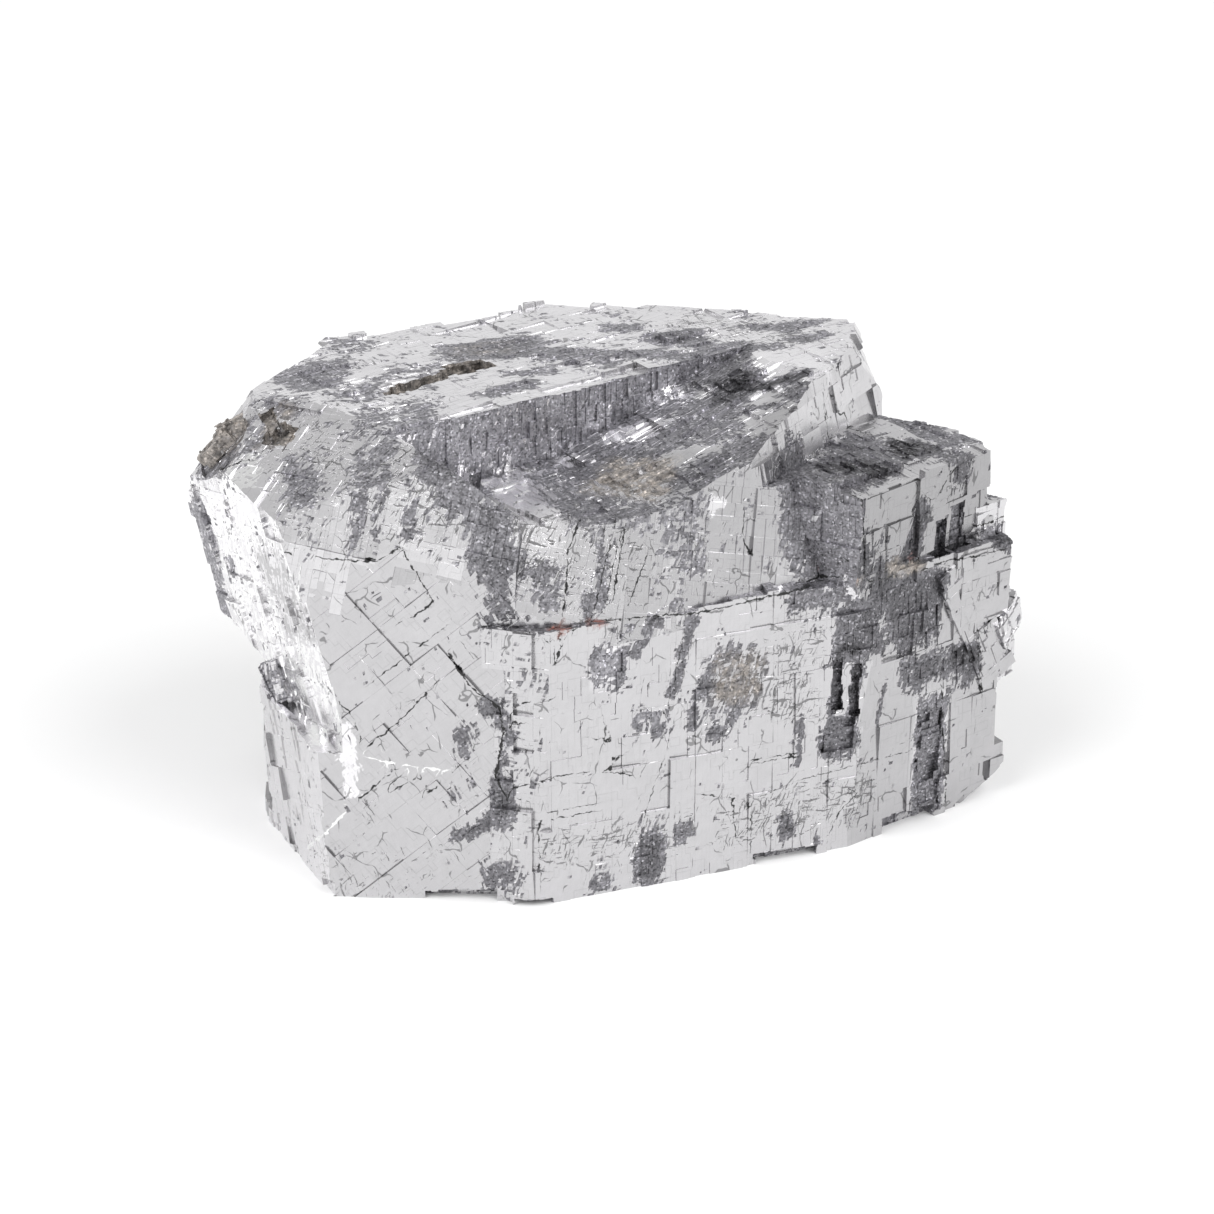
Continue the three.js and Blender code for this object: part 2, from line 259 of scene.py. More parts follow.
@dataclass
class Crack:
    """A fine line along a run of points on a face: dark, or pale where `ink` is below 0."""

    face: Face
    ink: float
    points: tuple

    def nearest(self, places):
        """For each place, the least distance to the run's straight parts, and the signed distance to that
        part's whole line: (place - start) . w, with w at right angles to the part within the face."""
        n = self.face.basis()[2]
        least, signed = np.full(len(places), np.inf), np.zeros(len(places))
        for start, end in zip(np.array(self.points[:-1]), np.array(self.points[1:])):
            along = end - start - ((end - start) @ n) * n
            length = np.linalg.norm(along)
            along /= length
            away = places - start
            t, w, off = away @ along, away @ np.cross(n, along), away @ n
            past, above = t - np.clip(t, 0, length), np.maximum(abs(off) - CRACK_DEPTH, 0)
            distance = np.sqrt(past**2 + w**2 + above**2)
            closer = distance < least
            least[closer], signed[closer] = distance[closer], w[closer]
        return least, signed


def lattice_lines(reach, cell, seed):
    """The lines that part the coarse cells: each step is the cell's size times a hashed number near one."""
    steps = cell * (0.5 + hashed(np.arange(MOST_CELLS), 3, seed))
    lines = -reach + np.concatenate([[0], np.cumsum(steps)])
    return np.concatenate([[-SLAB_DEPTH], lines[: np.argmax(lines >= reach) + 1], [SLAB_DEPTH]])


def split_lines(lines, width, seed):
    """The coarse lines with finer ones between them, about `width` apart and shifted a little at random."""
    parts = []
    for k, (low, high) in enumerate(zip(lines[:-1], lines[1:])):
        count = 1 if k in (0, len(lines) - 2) else max(1, round((high - low) / width))
        step = np.arange(count)
        shift = LINE_SHIFT * (hashed(step, k, seed) - 0.5) * (step > 0)
        parts.append(low + (high - low) * (step + shift) / count)
    return np.concatenate([*parts, lines[-1:]])


def middles(lines):
    """The middles between lines that stand next to each other."""
    return (lines[:-1] + lines[1:]) / 2


def terraces(face, width, axes):
    """Lines of a face's cells, and each cell's height and slopes.

    A coarse cell's height is eased noise plus a ragged part of its own, in whole levels, and it tilts up to
    CELL_TILT. A fine cell adds, in whole levels of FINE_LEVEL, a finer noise in two sizes, and grit where the
    ground is granular. Both are stronger on the busy parts of a face. Granular cells tilt further.
    """
    seed = face.seed
    coarse = [lattice_lines(face.reach[k], face.cell[k], seed + (0.3, 0.7)[k]) for k in (0, 1)]
    mid_u, mid_v = np.meshgrid(*[middles(x) for x in coarse], indexing="ij")
    height = face.relief * (2 * noise(mid_u / face.grain[0], mid_v / face.grain[1], seed) - 1)
    height = whole(height + face.ragged * (2 * hashed(mid_u, mid_v, seed) - 1), face.level)
    if not face.relief:
        return coarse, height, np.zeros((2, *height.shape))

    lines = [split_lines(coarse[k], width * face.fine[k], seed + k) for k in (0, 1)]
    u, v = np.meshgrid(*[middles(x) for x in lines], indexing="ij")
    cell = np.ix_(*[np.searchsorted(coarse[k], middles(lines[k])) - 1 for k in (0, 1)])
    inner = (abs(u) < face.reach[0] + EDGE_SPARE) & (abs(v) < face.reach[1] + EDGE_SPARE)
    tilt = np.array([CELL_TILT * (2 * hashed(mid_u, mid_v, seed + s) - 1)[cell] * inner for s in (1, 2)])
    height = height[cell] + tilt[0] * (u - mid_u[cell]) + tilt[1] * (v - mid_v[cell])

    places = np.stack([u, v, height], -1) @ axes + face.at
    dull = np.full(u.shape, float(face.dull))
    for patch in PATCHES:
        off = abs((np.array(patch.at) - face.at) @ axes[2])
        if patch.what == "dull" and off < max(patch.half) + patch.deep:
            dull += patch.share(places) * (patch.value - dull)
    busy = np.clip(2.5 * noise(u / BUSY_SPAN[0], v / BUSY_SPAN[1], seed + 8) - 0.8, CALM, 1)
    long_u, long_v = FINE_SPAN * np.array(face.fine)
    swell = noise(u / long_u, v / long_v, seed + 5)
    swell = swell + 0.4 * noise(2.5 * u / long_u, 2.5 * v / long_v, seed + 6) - 0.7
    grit = hashed(u, v, seed + 9) - 0.5
    finer = FINE_HEIGHT * face.steps * busy * swell + GRIT_HEIGHT * dull * busy * grit
    height += whole(finer, FINE_LEVEL)
    tilt += [2 * GRAIN_TILT * dull * (hashed(u, v, seed + s) - 0.5) * inner for s in (3, 4)]
    return lines, height, tilt


def sheet_mesh(face, width, axes=None):
    """The closed solid behind a face.

    A point is at + u * U + v * V + h * N, with h the height of its cell. Every inner lattice line is doubled,
    RISER_RUN apart, so the risers stand between cells and the sheet is one grid. Its rim is carried back by
    SLAB_DEPTH and closed with one flat face.
    """
    axes = face.basis() if axes is None else axes
    lines, height, tilt = terraces(face, width, axes)
    run = np.array([-RISER_RUN, RISER_RUN]) / 2
    paired = [np.concatenate([x[:1], (x[1:-1, None] + run).ravel(), x[-1:]]) for x in lines]
    i, j = np.meshgrid(*[np.arange(len(x)) for x in paired], indexing="ij")
    u, v = paired[0][i], paired[1][j]
    cell = i // 2, j // 2
    mid_u, mid_v = [(x[:-1] + x[1:])[c] / 2 for x, c in zip(lines, cell)]
    h = height[cell] + tilt[0][cell] * (u - mid_u) + tilt[1][cell] * (v - mid_v)
    front = np.stack([u, v, h], -1).reshape(-1, 3)

    rows, columns = i.shape
    grid = i * columns + j
    a = grid[:-1, :-1].ravel()
    quads = np.stack([a, a + columns, a + columns + 1, a + 1], -1)
    rim = np.concatenate([grid[:-1, 0], grid[-1, :-1], grid[:0:-1, -1], grid[0, :0:-1]])
    back = front[rim] * [1, 1, 0] - [0, 0, SLAB_DEPTH]
    ring = len(front) + np.arange(len(rim))
    sides = np.stack([rim, ring, np.roll(ring, -1), np.roll(rim, -1)], -1)

    local = np.concatenate([front, back])
    corners = np.concatenate([quads.ravel(), sides.ravel(), ring[::-1]])
    sizes = np.concatenate([np.full(len(quads) + len(sides), 4), [len(ring)]])
    rise = np.ptp(front[quads, 2], axis=1) * ((i % 2) | (j % 2))[:-1, :-1].ravel()
    values = {what: np.full(len(sizes), float(getattr(face, what))) for what in FINISHES}
    values["riser"] = np.concatenate([rise, np.zeros(len(sides) + 1)])
    return fill_mesh(local @ axes + face.at, corners, sizes, local[corners, :2], values)


def fill_mesh(points, corners, sizes, lattice, values):
    """A mesh of points, faces by their corners in a row and each one's count, a map and values by face."""
    mesh = bpy.data.meshes.new("sheet")
    mesh.vertices.add(len(points))
    mesh.vertices.foreach_set("co", np.asarray(points, np.float32).ravel())
    mesh.loops.add(len(corners))
    mesh.loops.foreach_set("vertex_index", np.asarray(corners, np.int32))
    mesh.polygons.add(len(sizes))
    mesh.polygons.foreach_set("loop_start", np.concatenate([[0], np.cumsum(sizes)[:-1]]).astype(np.int32))
    mesh.update(calc_edges=True)
    mesh.uv_layers.new(name="lattice").data.foreach_set("uv", np.asarray(lattice, np.float32).ravel())
    for what, value in values.items():
        keep_values(mesh, what, "FACE", value)
    return mesh


def keep_values(mesh, what, domain, value):
    """Puts an array on the mesh as a new attribute of that name."""
    mesh.attributes.new(what, "FLOAT", domain).data.foreach_set("value", value.astype(np.float32))


def read_values(items, what, kind=np.float32, width=1):
    """One property of all the mesh's items, as an array."""
    values = np.empty(len(items) * width, kind)
    items.foreach_get(what, values)
    return values


def link_object(name, data):
    """A new object around its data, in the scene."""
    made = bpy.data.objects.new(name, data)
    bpy.context.scene.collection.objects.link(made)
    return made


# ---- joining and cutting ----


def combine(operation, meshes):
    """One solid from several: the first is cut by, joined to or kept only inside each of the others."""
    first, *others = objects = [link_object("solid", mesh) for mesh in meshes]
    for other in others:
        modifier = first.modifiers.new("combine", "BOOLEAN")
        modifier.operation = operation
        modifier.solver = "MANIFOLD"
        modifier.object = other
    graph = bpy.context.evaluated_depsgraph_get()
    result = bpy.data.meshes.new_from_object(first.evaluated_get(graph))
    for obj in objects:
        bpy.data.objects.remove(obj)
    return result


# ---- the block's faces ----


def plain(heading, lean, at):
    """One flat plane, which only bounds a part where another part hides it."""
    return Face(heading, lean, at, reach=(1, 1), cell=(9, 9), relief=0, ragged=0)


# A face's tone also paints light and shade: each face of the one galena is made lighter or darker to the
# brightness that the light gives it.
rough = partial(
    Face, cell=(4.6, 4.2), grain=(15, 10), relief=2, ragged=0.2, level=0.9, fine=(2, 4), steps=0.8,
    dull=0.08, tone=0.85, streaky=0.4,
)
chipped = partial(Face, reach=(6, 6), cell=(1.6, 1.6), grain=(3, 3), relief=0.15, level=0.15, fine=(1, 2))
gangue = partial(
    chipped, cell=(1, 1), grain=(2, 2), relief=0.3, ragged=0.25, fine=(1, 1), dull=0.9, warm=1.2
)

BASE = plain(LATTICE, -90, (0, 0, 0))
BACK_LEFT = rough(-156, 3, (-16, 17.5, PLATEAU_Z), seed=41)
BACK = rough(168, 5, (9, 20, PLATEAU_Z), seed=47)
FAR_LEFT_UPPER = rough(-117, 27, (-31, 5, PLATEAU_Z), relief=0.9, seed=43)
FAR_LEFT_LOWER = rough(-110, -8, (-40.3, -1, 33), relief=0.9, seed=45)
PLATEAU_TOP = Face(
    LATTICE, 90, (0, 0, PLATEAU_Z), turn=-90, cell=(3.2, 6), grain=(7, 18), seed=97, steps=0.6,
    dull=0.2, tone=1.35, streaky=0.15,
)
LEFT_FRONT = Face(
    -3, 3.5, (-16, -23.6, 0), turn=40, cell=(5, 3.4), grain=(12, 9), relief=0.3, ragged=0.04, level=0.2,
    seed=11, fine=(2, 1), steps=0.3, dull=0, tone=0.81, streaky=-0.15,
)
FRONT = Face(
    20.5, 1, (-6.4, -24.7, 0), cell=(3.2, 6), grain=(12, 16), ragged=0.05, seed=53, steps=0.5, dull=0.02,
    tone=0.85, streaky=-0.15,
)
FRONT_RIGHT = Face(
    36, 0, (24, -13.4, 10), cell=(3.2, 6), grain=(5, 9), relief=0.3, ragged=0.05, seed=59, steps=0.5,
    dull=0.02, tone=0.73, streaky=0.1,
)
TIER_RIGHT = Face(
    29, 17, (1.2, -21.7, 28.9), turn=-15, cell=(2.4, 5), grain=(4, 9), relief=0.2, level=0.15, seed=71,
    dull=0.12, tone=0.95, streaky=0.5,
)
TIER_LEFT = Face(
    0, 16, (-1.5, -21.9, 29.5), turn=-12, cell=(2.4, 5), grain=(4, 9), relief=0.5, seed=72, dull=0.1,
    tone=1.05, streaky=0.5,
)
RIGHT_END = Face(
    118, 2, (38.8, -2.3, 27), cell=(4, 5), relief=0.6, ragged=0.25, level=0.5, seed=61, fine=(1.5, 3),
    steps=0.7, tone=0.9,
)
RIGHT_FOOT = Face(80, -45, (37.5, -4.4, 1.4), ragged=0.25, level=0.5, seed=63)
BACK_RIGHT = rough(150, 14, (29.4, 5.6, LEDGE_Z), relief=1.6, seed=62)

BAND = Face(
    -2, 13, (-16.8, -19, PLATEAU_Z), turn=-12, cell=(2.6, 5), grain=(4, 10), relief=0.5, seed=13, dull=0.03,
    tone=1.05, streaky=0.6,
)
BEVEL = Face(
    -40, 62, (-27, -8.2, PLATEAU_Z), turn=8, cell=(3, 3), seed=31, fine=(1.3, 2), dull=0.08, tone=1.22,
    streaky=0.8,
)
SHOULDER = Face(
    -82, 40, (-37.5, -3, 39.6), cell=(3, 3), relief=0.5, ragged=0.25, level=0.5, seed=33, tone=1.1,
)
# The left end's tone and its glint finish paint it bright, with painted highlights.
LEFT_END = Face(
    -58, -10, (-29.6, -20.5, 34), turn=12, cell=(3, 4), grain=(8, 10), seed=23, fine=(1.3, 2), steps=0.6,
    dull=0.15, tone=1.25, painted_glint=0.5,
)
LEFT_HOLLOW = Face(
    -75, -41, (-33.1, -3, 15.6), relief=0.6, ragged=0.25, level=0.5, seed=25, dull=0.15, tone=1.3,
)
SPUR_BACK = Face(124, 47, (-15.9, -19.3, PLATEAU_Z), cell=(3.2, 6), seed=27, dull=0.45, tone=1.3)
SPUR_EDGE = Face(78, 0, (-8, -20, 37), cell=(3.2, 6), seed=28, dull=0.5)
LEFT_FOOT = Face(
    -64, -2, (-31.4, -12.9, 0), turn=20, grain=(6, 8), relief=0.25, seed=29, steps=0.6, tone=1.1,
    streaky=0.1,
)
LEFT_FLANK = Face(-86, 1, (-34.3, -2, 8), cell=(4, 3), relief=0.5, ragged=0.25, level=0.25, seed=38)
LEFT_SHELF = Face(-60, 84, (-33, -3, 15.5), ragged=0.25, level=0.5, seed=37, dull=0.05, tone=1.3)

FRONT_CORNER = Face(
    -14, 2, (-6.4, -24.8, 0), relief=0.6, ragged=0.25, level=0.5, seed=52, steps=0.7, dull=0.2, tone=0.85,
    streaky=0.6,
)
FRONT_EDGE = Face(
    -85, 0, (-11, -25, 15), grain=(9, 7), relief=1.5, ragged=0.5, level=0.5, seed=51, dull=0.5, tone=0.8,
    streaky=0.7,
)
CRACK_SHELF = Face(20, 90, (0, 0, CRACK_Z), ragged=0.25, level=0.4, seed=67, dull=0.95)
LEDGE = Face(
    LATTICE, 90, (0, 0, LEDGE_Z), cell=(3, 3), relief=0.25, seed=79, fine=(1.5, 1.5), dull=0.9, tone=1.1,
)
BUTTRESS_FRONT = Face(
    42, 0, (24, -13.5, 30), cell=(2.6, 4), grain=(5, 10), seed=83, steps=0.6, dull=0.05, tone=0.58,
    streaky=0.1,
)
BUTTRESS_SIDE = Face(-32, 0, (24, -13.5, 30), relief=0.3, seed=87, dull=0.95, tone=1.15)
BUTTRESS_TOP = Face(
    LATTICE, 90, (0, 0, LEDGE_Z), cell=(3, 3), relief=0.6, ragged=0.25, level=0.6, seed=91, dull=0.08,
    tone=0.95,
)
CAP_END = Face(90, 30, (24.5, 8, PLATEAU_Z), cell=(3, 3), relief=0.7, ragged=0.25, level=0.5, seed=101)
CAP_END_LOW = Face(100, 0, (28.2, 4, LEDGE_Z), relief=0.6, ragged=0.25, level=0.5, seed=102)
WALL = Face(
    35, 0, (-4.5, -2.5, PLATEAU_Z), cell=(2.2, 7), grain=(7, 20), relief=0.25, level=0.15, seed=107,
    fine=(1, 3.5), steps=0.15, dull=0.95, tone=1.35,
)
BROKEN_GROUND = Face(
    -55, 73, (-2.8, -3.8, LEDGE_Z), cell=(2.4, 5), relief=0.3, ragged=0.15, level=0.2, seed=109,
    fine=(1, 2.5), dull=0.85, tone=0.95, streaky=0.4,
)
LIGHT_BAND = Face(
    59, 15, (18.7, -4.4, LEDGE_Z), cell=(3, 4), relief=0.3, seed=103, fine=(1.3, 2.4), steps=0.4, dull=0,
    tone=0.95, streaky=0,
)

# Small blocks that stand proud of the faces, and pockets sunk in them: the middle, the size along the face's
# u, v and n, and the face that their sides are like.
PROUD = (
    ((-30.2, -10.6, 18.1), (4.4, 4, 4.6), chipped(-20, 4, turn=25, dull=0.6, warm=0.3)),
    ((-36.8, -5, 39.2), (4.4, 2.4, 3.2), gangue(turn=43)),
    ((-35.3, -4.7, 40.7), (3, 2.6, 3), gangue(-20, turn=25)),
    ((35.6, -3, 20.4), (4.5, 15, 3.6), chipped(36, turn=25, dull=0, tone=0.74, streaky=-0.6)),
    ((36.2, -2.6, 24.4), (6.3, 7.8, 3.6), chipped(36, dull=0, tone=0.74, streaky=-0.6)),
    ((36.5, 0.5, 29.5), (4, 4.2, 4), chipped(42)),
    ((38.3, 0.2, 19.1), (4.6, 3.6, 5), chipped(56, turn=25)),
    ((37.7, 0.4, 15.2), (4.6, 5.8, 5), chipped(56)),
)
SUNK = (
    ((-17.5, -0.1, PLATEAU_Z), (8, 1.8, 1.8), gangue(45, 90)),
    ((-13.6, 3.6, PLATEAU_Z), (4.6, 2.6, 2.4), gangue(36, 90)),
    ((-20, -2.4, PLATEAU_Z), (3, 1.4, 1.4), gangue(60, 90)),
    ((-16.2, -14, PLATEAU_Z), (4, 3, 2.8), chipped(LATTICE, 90, dull=1)),
    ((-31.9, -7.3, 42.7), (5, 1.5, 2), gangue(-40, 62, turn=-30)),
    ((-31.1, -9, 42.2), (3.2, 2.6, 2.8), gangue(-40, 62, turn=5)),
    ((32.3, -6, 30.2), (1.8, 4, 1.2), chipped(42, steps=2, dull=1.1)),
    ((34.2, -4.3, 30.6), (2.2, 5.4, 1.2), chipped(42, steps=2, dull=1.1)),
    ((31.8, -7.7, 6.5), (3.2, 11.4, 0.5), chipped(36, dull=1.2, tone=1.2)),
    ((22.2, -13.6, 18), (0.9, 5.6, 1), chipped(21, dull=1.5)),
    ((24, -13, 17.1), (1, 5.6, 1), chipped(21, dull=1.5)),
    ((22.4, -13.7, 12.7), (3.6, 3.4, 0.8), chipped(21, dull=1.2)),
    ((-14, -24, 0), (7, 2, 3), chipped(-3, turn=3, dull=0.5)),
    ((-7, -24.8, 0), (4, 1.2, 3), chipped(5, dull=0.8)),
    ((17.6, -15.8, 0), (6.6, 2.6, 3), chipped(20.5, dull=0.5)),
    ((30.2, -9, 0), (6.6, 3.4, 3), chipped(36, turn=-3, dull=0.5)),
)


# ---- patches and cracks, each on its face ----

PATCHES, CRACKS = [], []


def mark(what, face, *rows):
    """Lays patches on a face. A row is value, at and half, and then turn, soft and deep where needed."""
    PATCHES.extend(Patch(what, face, *row) for row in rows)


def crack(face, *rows):
    """Draws cracks on a face. A row is the ink, and then the points."""
    CRACKS.extend(Crack(face, ink, points) for ink, *points in rows)


# The ledge behind the buttress, and the ground left of it down to the crack, are dull.
mark("dull", LEDGE, (1, (22, -4, 37.5), (5.5, 5), -25))
mark("dull", LIGHT_BAND, (0.05, (22, 1, 39.5), (6, 2), 0, 0.4, 0.8))
mark("dull", BUTTRESS_SIDE, (1, (21.5, -11.5, 33.5), (3, 4.5), 15))
mark("dull", TIER_RIGHT, (1, (18.5, -10.5, 34.5), (2, 4.5), 5))
mark(
    "dull", LEDGE,
    (1.7, (23.5, -7, 38), (1.5, 3.5), 40, 0.4),
    (1.8, (29, -1.5, 37.5), (1.5, 2.5), -40, 0.4),
    (1.5, (31.5, -1, 37.5), (0.8, 1.5), -40, 0.4),
)
mark("dull", BUTTRESS_FRONT, (1.2, (34.5, -4.5, 38), (2, 0.4), -15, 0.5))

# The buttress has a rough step down its middle, and a rough foot along the crack.
mark(
    "dull", BUTTRESS_FRONT,
    (1.4, (29.5, -8, 32), (0.8, 3), -15, 0.7),
    (1.2, (27, -11, 29.5), (4, 0.8), -15),
    (1.2, (38, -1.5, 28.5), (1.5, 0.8), -15, 0.5),
)

# Right of the front a dull zone runs down from the crack into the upright groove.
mark(
    "dull", FRONT_RIGHT,
    (1.1, (27.5, -10.5, 24), (6.5, 4), -5, 0.5),
    (0.95, (21.5, -14.5, 27), (4, 1.5), -5, 0.6),
    (1.1, (33.5, -8, 17), (5.5, 2), -15, 0.5),
    (1.2, (32, -7.5, 7.5), (2, 6.5), 0, 0.4),
    (0.3, (24, -13, 27.5), (1.5, 0.8), -15, 0.6),
    (0, (27, -11, 22.5), (0.4, 2.5), 20, 0.5),
    (0, (33, -7, 18.5), (4.5, 0.4), -15, 0.6),
    (1.8, (36, -6.5, 17.5), (1.5, 0.8), -15, 0.6),
)
mark("tone", FRONT_RIGHT, (1.2, (32, -7.5, 7.5), (2, 6.5), 0, 0.4))
# A painted glint on the light sliver.
mark("painted_glint", FRONT_RIGHT, (0.5, (33, -7, 18.5), (4.5, 0.4), -15, 0.6))
mark(
    "streaky", FRONT_RIGHT,
    (-0.8, (36.5, -4, 22.5), (3.5, 4), -15),
    (-0.8, (36, -5, 6.5), (3, 5.5), -15),
)

# A cluster of steps left of it.
mark(
    "dull", FRONT,
    (1.9, (22.5, -13, 21), (2, 0.4), 15, 0.3),
    (1.7, (22, -13.5, 18), (0.3, 3), -10, 0.3),
    (1.6, (24, -13, 17), (0.4, 3), -10, 0.3),
    (1.2, (22.5, -13.5, 12.5), (2, 2), 10, 0.6),
)
mark("dull", FRONT_RIGHT, (1.5, (27, -11.5, 15.5), (0.2, 1.5), -15, 0.3))

# On the front: a mid-grey plate under the crack, a dark oblique gash beside it, and a band of steep steps.
mark(
    "dull", FRONT,
    (0.9, (0, -22, 24), (2, 2.5), -10, 0.4),
    (0.9, (4, -20, 17.5), (2, 1.2), -10, 0.4),
    (1.3, (3, -21, 25.5), (0.4, 1.5), -35, 0.3),
    (1.3, (4.5, -20.5, 28), (0.8, 0.6), -15, 0.3),
    (1.1, (7, -19, 23.5), (0.6, 4.5), -15, 0.4),
)
mark(
    "tone", FRONT,
    (1.4, (0, -22, 24), (1.2, 2), -10, 0.5),
    (1.3, (4, -20, 17.5), (1.2, 0.6), -10, 0.5),
)
mark("streaky", FRONT, (1, (4.5, -20.5, 21), (1.5, 1.5)))

# A brown-grey hollow of curved steps right of the middle, darkest at its left foot.
mark(
    "dull", FRONT,
    (1.1, (8.5, -18.5, 17.5), (0.8, 2), -15, 0.4),
    (1, (9.5, -18.5, 20.5), (0.8, 2), -25, 0.4),
    (0.8, (11.5, -17.5, 20.5), (0.8, 2), -25, 0.4),
    (0.8, (14.5, -16.5, 20), (0.6, 2.5), -10, 0.4),
    (1.2, (10.5, -18, 15), (1.2, 0.8), -5, 0.4),
    (0.65, (11.5, -17.5, 20), (3, 4), -20),
)
mark("streaky", FRONT, (1, (12.5, -17, 20), (5, 4.5), -5))
mark("warm", FRONT, (0.65, (12.5, -17, 20.5), (3, 3), -5))

# Iron stains in the crack: red at the left, and thin ochre ones along the buttress's foot.
mark("warm", FRONT_RIGHT, (1, (23, -13, 29), (3.5, 0.4), -15, 0.4))
mark("warm", BUTTRESS_FRONT, (1, (29, -9.5, 28.5), (3, 0.6), -15, 0.4))
mark(
    "rust", FRONT,
    (0.9, (-4, -23.5, 28.5), (1.5, 0.4), 35, 0.4),
    (0.8, (0, -22, 28.5), (2, 0.2), -5, 0.3),
)
mark("rust", FRONT_RIGHT, (0.8, (22, -12.5, 29), (0.8, 0.4), -10, 0.4))
mark("rust", BUTTRESS_FRONT, (0.6, (29.5, -8.5, 29), (0.8, 0.4), -10, 0.3))

# The rough foot of the front.
mark(
    "dull", FRONT,
    (1.2, (4, -20.5, 3), (1.5, 3), -5, 0.5),
    (0.8, (-0.5, -22.5, 1.5), (1.5, 1.5), -5, 0.7),
    (1.1, (7.5, -19.5, 5), (1.2, 0.8), -5, 0.4),
    (1.2, (17.5, -15.5, 4), (0.8, 1.5), 5, 0.5),
    (1.1, (20.5, -14.5, 1.5), (0.3, 0.8), 0, 0.3),
    (0.8, (-10, -24.5, 3), (1.5, 1.5), 0, 0.8),
    (1.1, (18.5, -15, 13), (0.4, 2.5), 0, 0.4),
)
mark(
    "streaky", FRONT,
    (1, (1, -22, 5.5), (8.5, 3)),
    (1, (18, -15, 5), (9.5, 3.5)),
    (1, (18.5, -15.5, 20), (3.5, 5.5)),
)

# Two dark places and the gash between them part the left front from the front.
mark(
    "dull", LEFT_FRONT,
    (1.2, (-10, -23.5, 11), (1.2, 2), -40, 0.5),
    (1.1, (-11, -23.5, 8.5), (2, 0.6), -5, 0.4),
    (1.2, (-13.5, -23.5, 7), (1.5, 0.6), -25, 0.4),
    (1, (-9.5, -23.5, 18), (0.6, 2), -20, 0.5),
    (0.9, (-10, -23, 14), (0.4, 2.5), -50, 0.5),
    (1, (-11, -22.5, 20), (1.2, 1.2), 45, 0.6),
    (0.7, (-14.5, -22.5, 11), (1.5, 0.8), -20),
)
mark("streaky", LEFT_FRONT, (0.8, (-19.5, -23, 3), (7.5, 3), -35))

# The left end is painted bright by its tone and its glint finish, with mottled places and a lumpy dull edge.
mark(
    "dull", LEFT_END,
    (0.9, (-39, -3, 27), (1.5, 7), -15, 0.6),
    (0.8, (-36.5, -7, 27.5), (1.2, 0.8), 10, 0.4),
    (0.8, (-37, -7.5, 38.5), (4, 1.2), 10, 1.2),
    (0.8, (-40, -1, 28.5), (2.5, 3), 10, 0.7),
    (0.8, (-39, -1, 22), (3.5, 3.5), 10, 0.7),
)
mark(
    "dull", LEFT_FRONT,
    (1.1, (-28, -19.5, 4), (1, 0.3), 5, 0.3),
    (0.8, (-13.5, -22.5, 16.5), (0.8, 2), -40, 0.8),
)
mark("tone", LEFT_END, (0.8, (-30.5, -17.5, 29.5), (4, 5), 10, 0.4))
# Painted highlights on the bevel and on the left front.
mark("painted_glint", BEVEL, (0.6, (-34.5, -12, 40), (2.5, 3), 20, 0.4))
mark(
    "painted_glint", LEFT_FRONT,
    (0.9, (-24.5, -22.5, 14.5), (0.8, 4), -35, 0.4),
    (0.9, (-28, -17.5, 16.5), (0.8, 3), -25, 0.4),
)
mark(
    "streaky", LEFT_FRONT,
    (1, (-23, -23, 8.5), (1.2, 2), -55, 0.8),
    (0.8, (-22.5, -22.5, 2), (6.5, 2.5), -40),
)

# The band above the left front: steep flutes between pale ones, and a dark crown where the tier begins.
mark(
    "dull", BAND,
    (0.8, (-28, -16, 38), (1.5, 4.5), 25),
    (0.9, (-23, -20, 39), (0.6, 4), 5, 0.5),
    (0.9, (-18, -20.5, 38), (0.4, 2), 0, 0.4),
    (0.8, (-16.5, -20.5, 38.5), (0.3, 1.5), -5, 0.4),
    (0.8, (-15, -20.5, 37.5), (0.3, 1.5), -5, 0.4),
    (1, (-11, -21.5, 33.5), (1.5, 4.5), 25),
    (0.2, (-11.5, -21.5, 31.5), (0.8, 1.2), 15, 0.6),
    (0.7, (-14, -20, 41), (1.5, 2), 5, 1.2),
    (0.9, (-21, -20, 39.5), (0.4, 3.5), 5, 0.4),
    (0.9, (-18.5, -20.5, 39.5), (0.4, 3), 5, 0.4),
    (1, (-14.5, -20, 42), (6.5, 1.5), -30, 0.8),
)
mark("dull", TIER_LEFT, (1.1, (-10, -21.5, 36.5), (1.5, 3.5), 30, 0.8))
mark("dull", TIER_RIGHT, (0.8, (2, -18, 37.5), (7.5, 1), 5, 0.8))
mark(
    "streaky", BAND,
    (1, (-27, -17, 39), (3, 4.5), 15),
    (1, (-18.5, -20.5, 39.5), (5, 4.5), 10),
)

# The tier: pale sweeps with dark oblique steps between, which run down to the crack.
mark("dull", TIER_LEFT, (0.7, (-6, -21.5, 32.5), (1.5, 2.5), 20, 0.8))
mark(
    "dull", TIER_RIGHT,
    (1.1, (-0.5, -20.5, 33), (0.4, 3), 10, 0.4),
    (1, (-1.5, -21.5, 30.5), (0.8, 1.2), 10, 0.4),
    (1, (6.5, -19, 29.5), (0.8, 0.8), 10, 0.5),
    (0.7, (7, -16.5, 33), (2.5, 1.5), 15),
    (0.65, (7, -16.5, 34.5), (2, 2.5), 5),
)
mark("dull", BUTTRESS_TOP, (0.9, (34.5, -4.5, 38), (1, 1.5), 40, 0.4))
mark("dull", TIER_RIGHT, (0, (10.5, -14, 37), (1.2, 1), 10, 0.3))
mark(
    "dull", BAND,
    (0.75, (-28.5, -16, 40), (2, 2.5), 15),
    (0.7, (-22, -17, 42), (2, 2.5), 15),
)
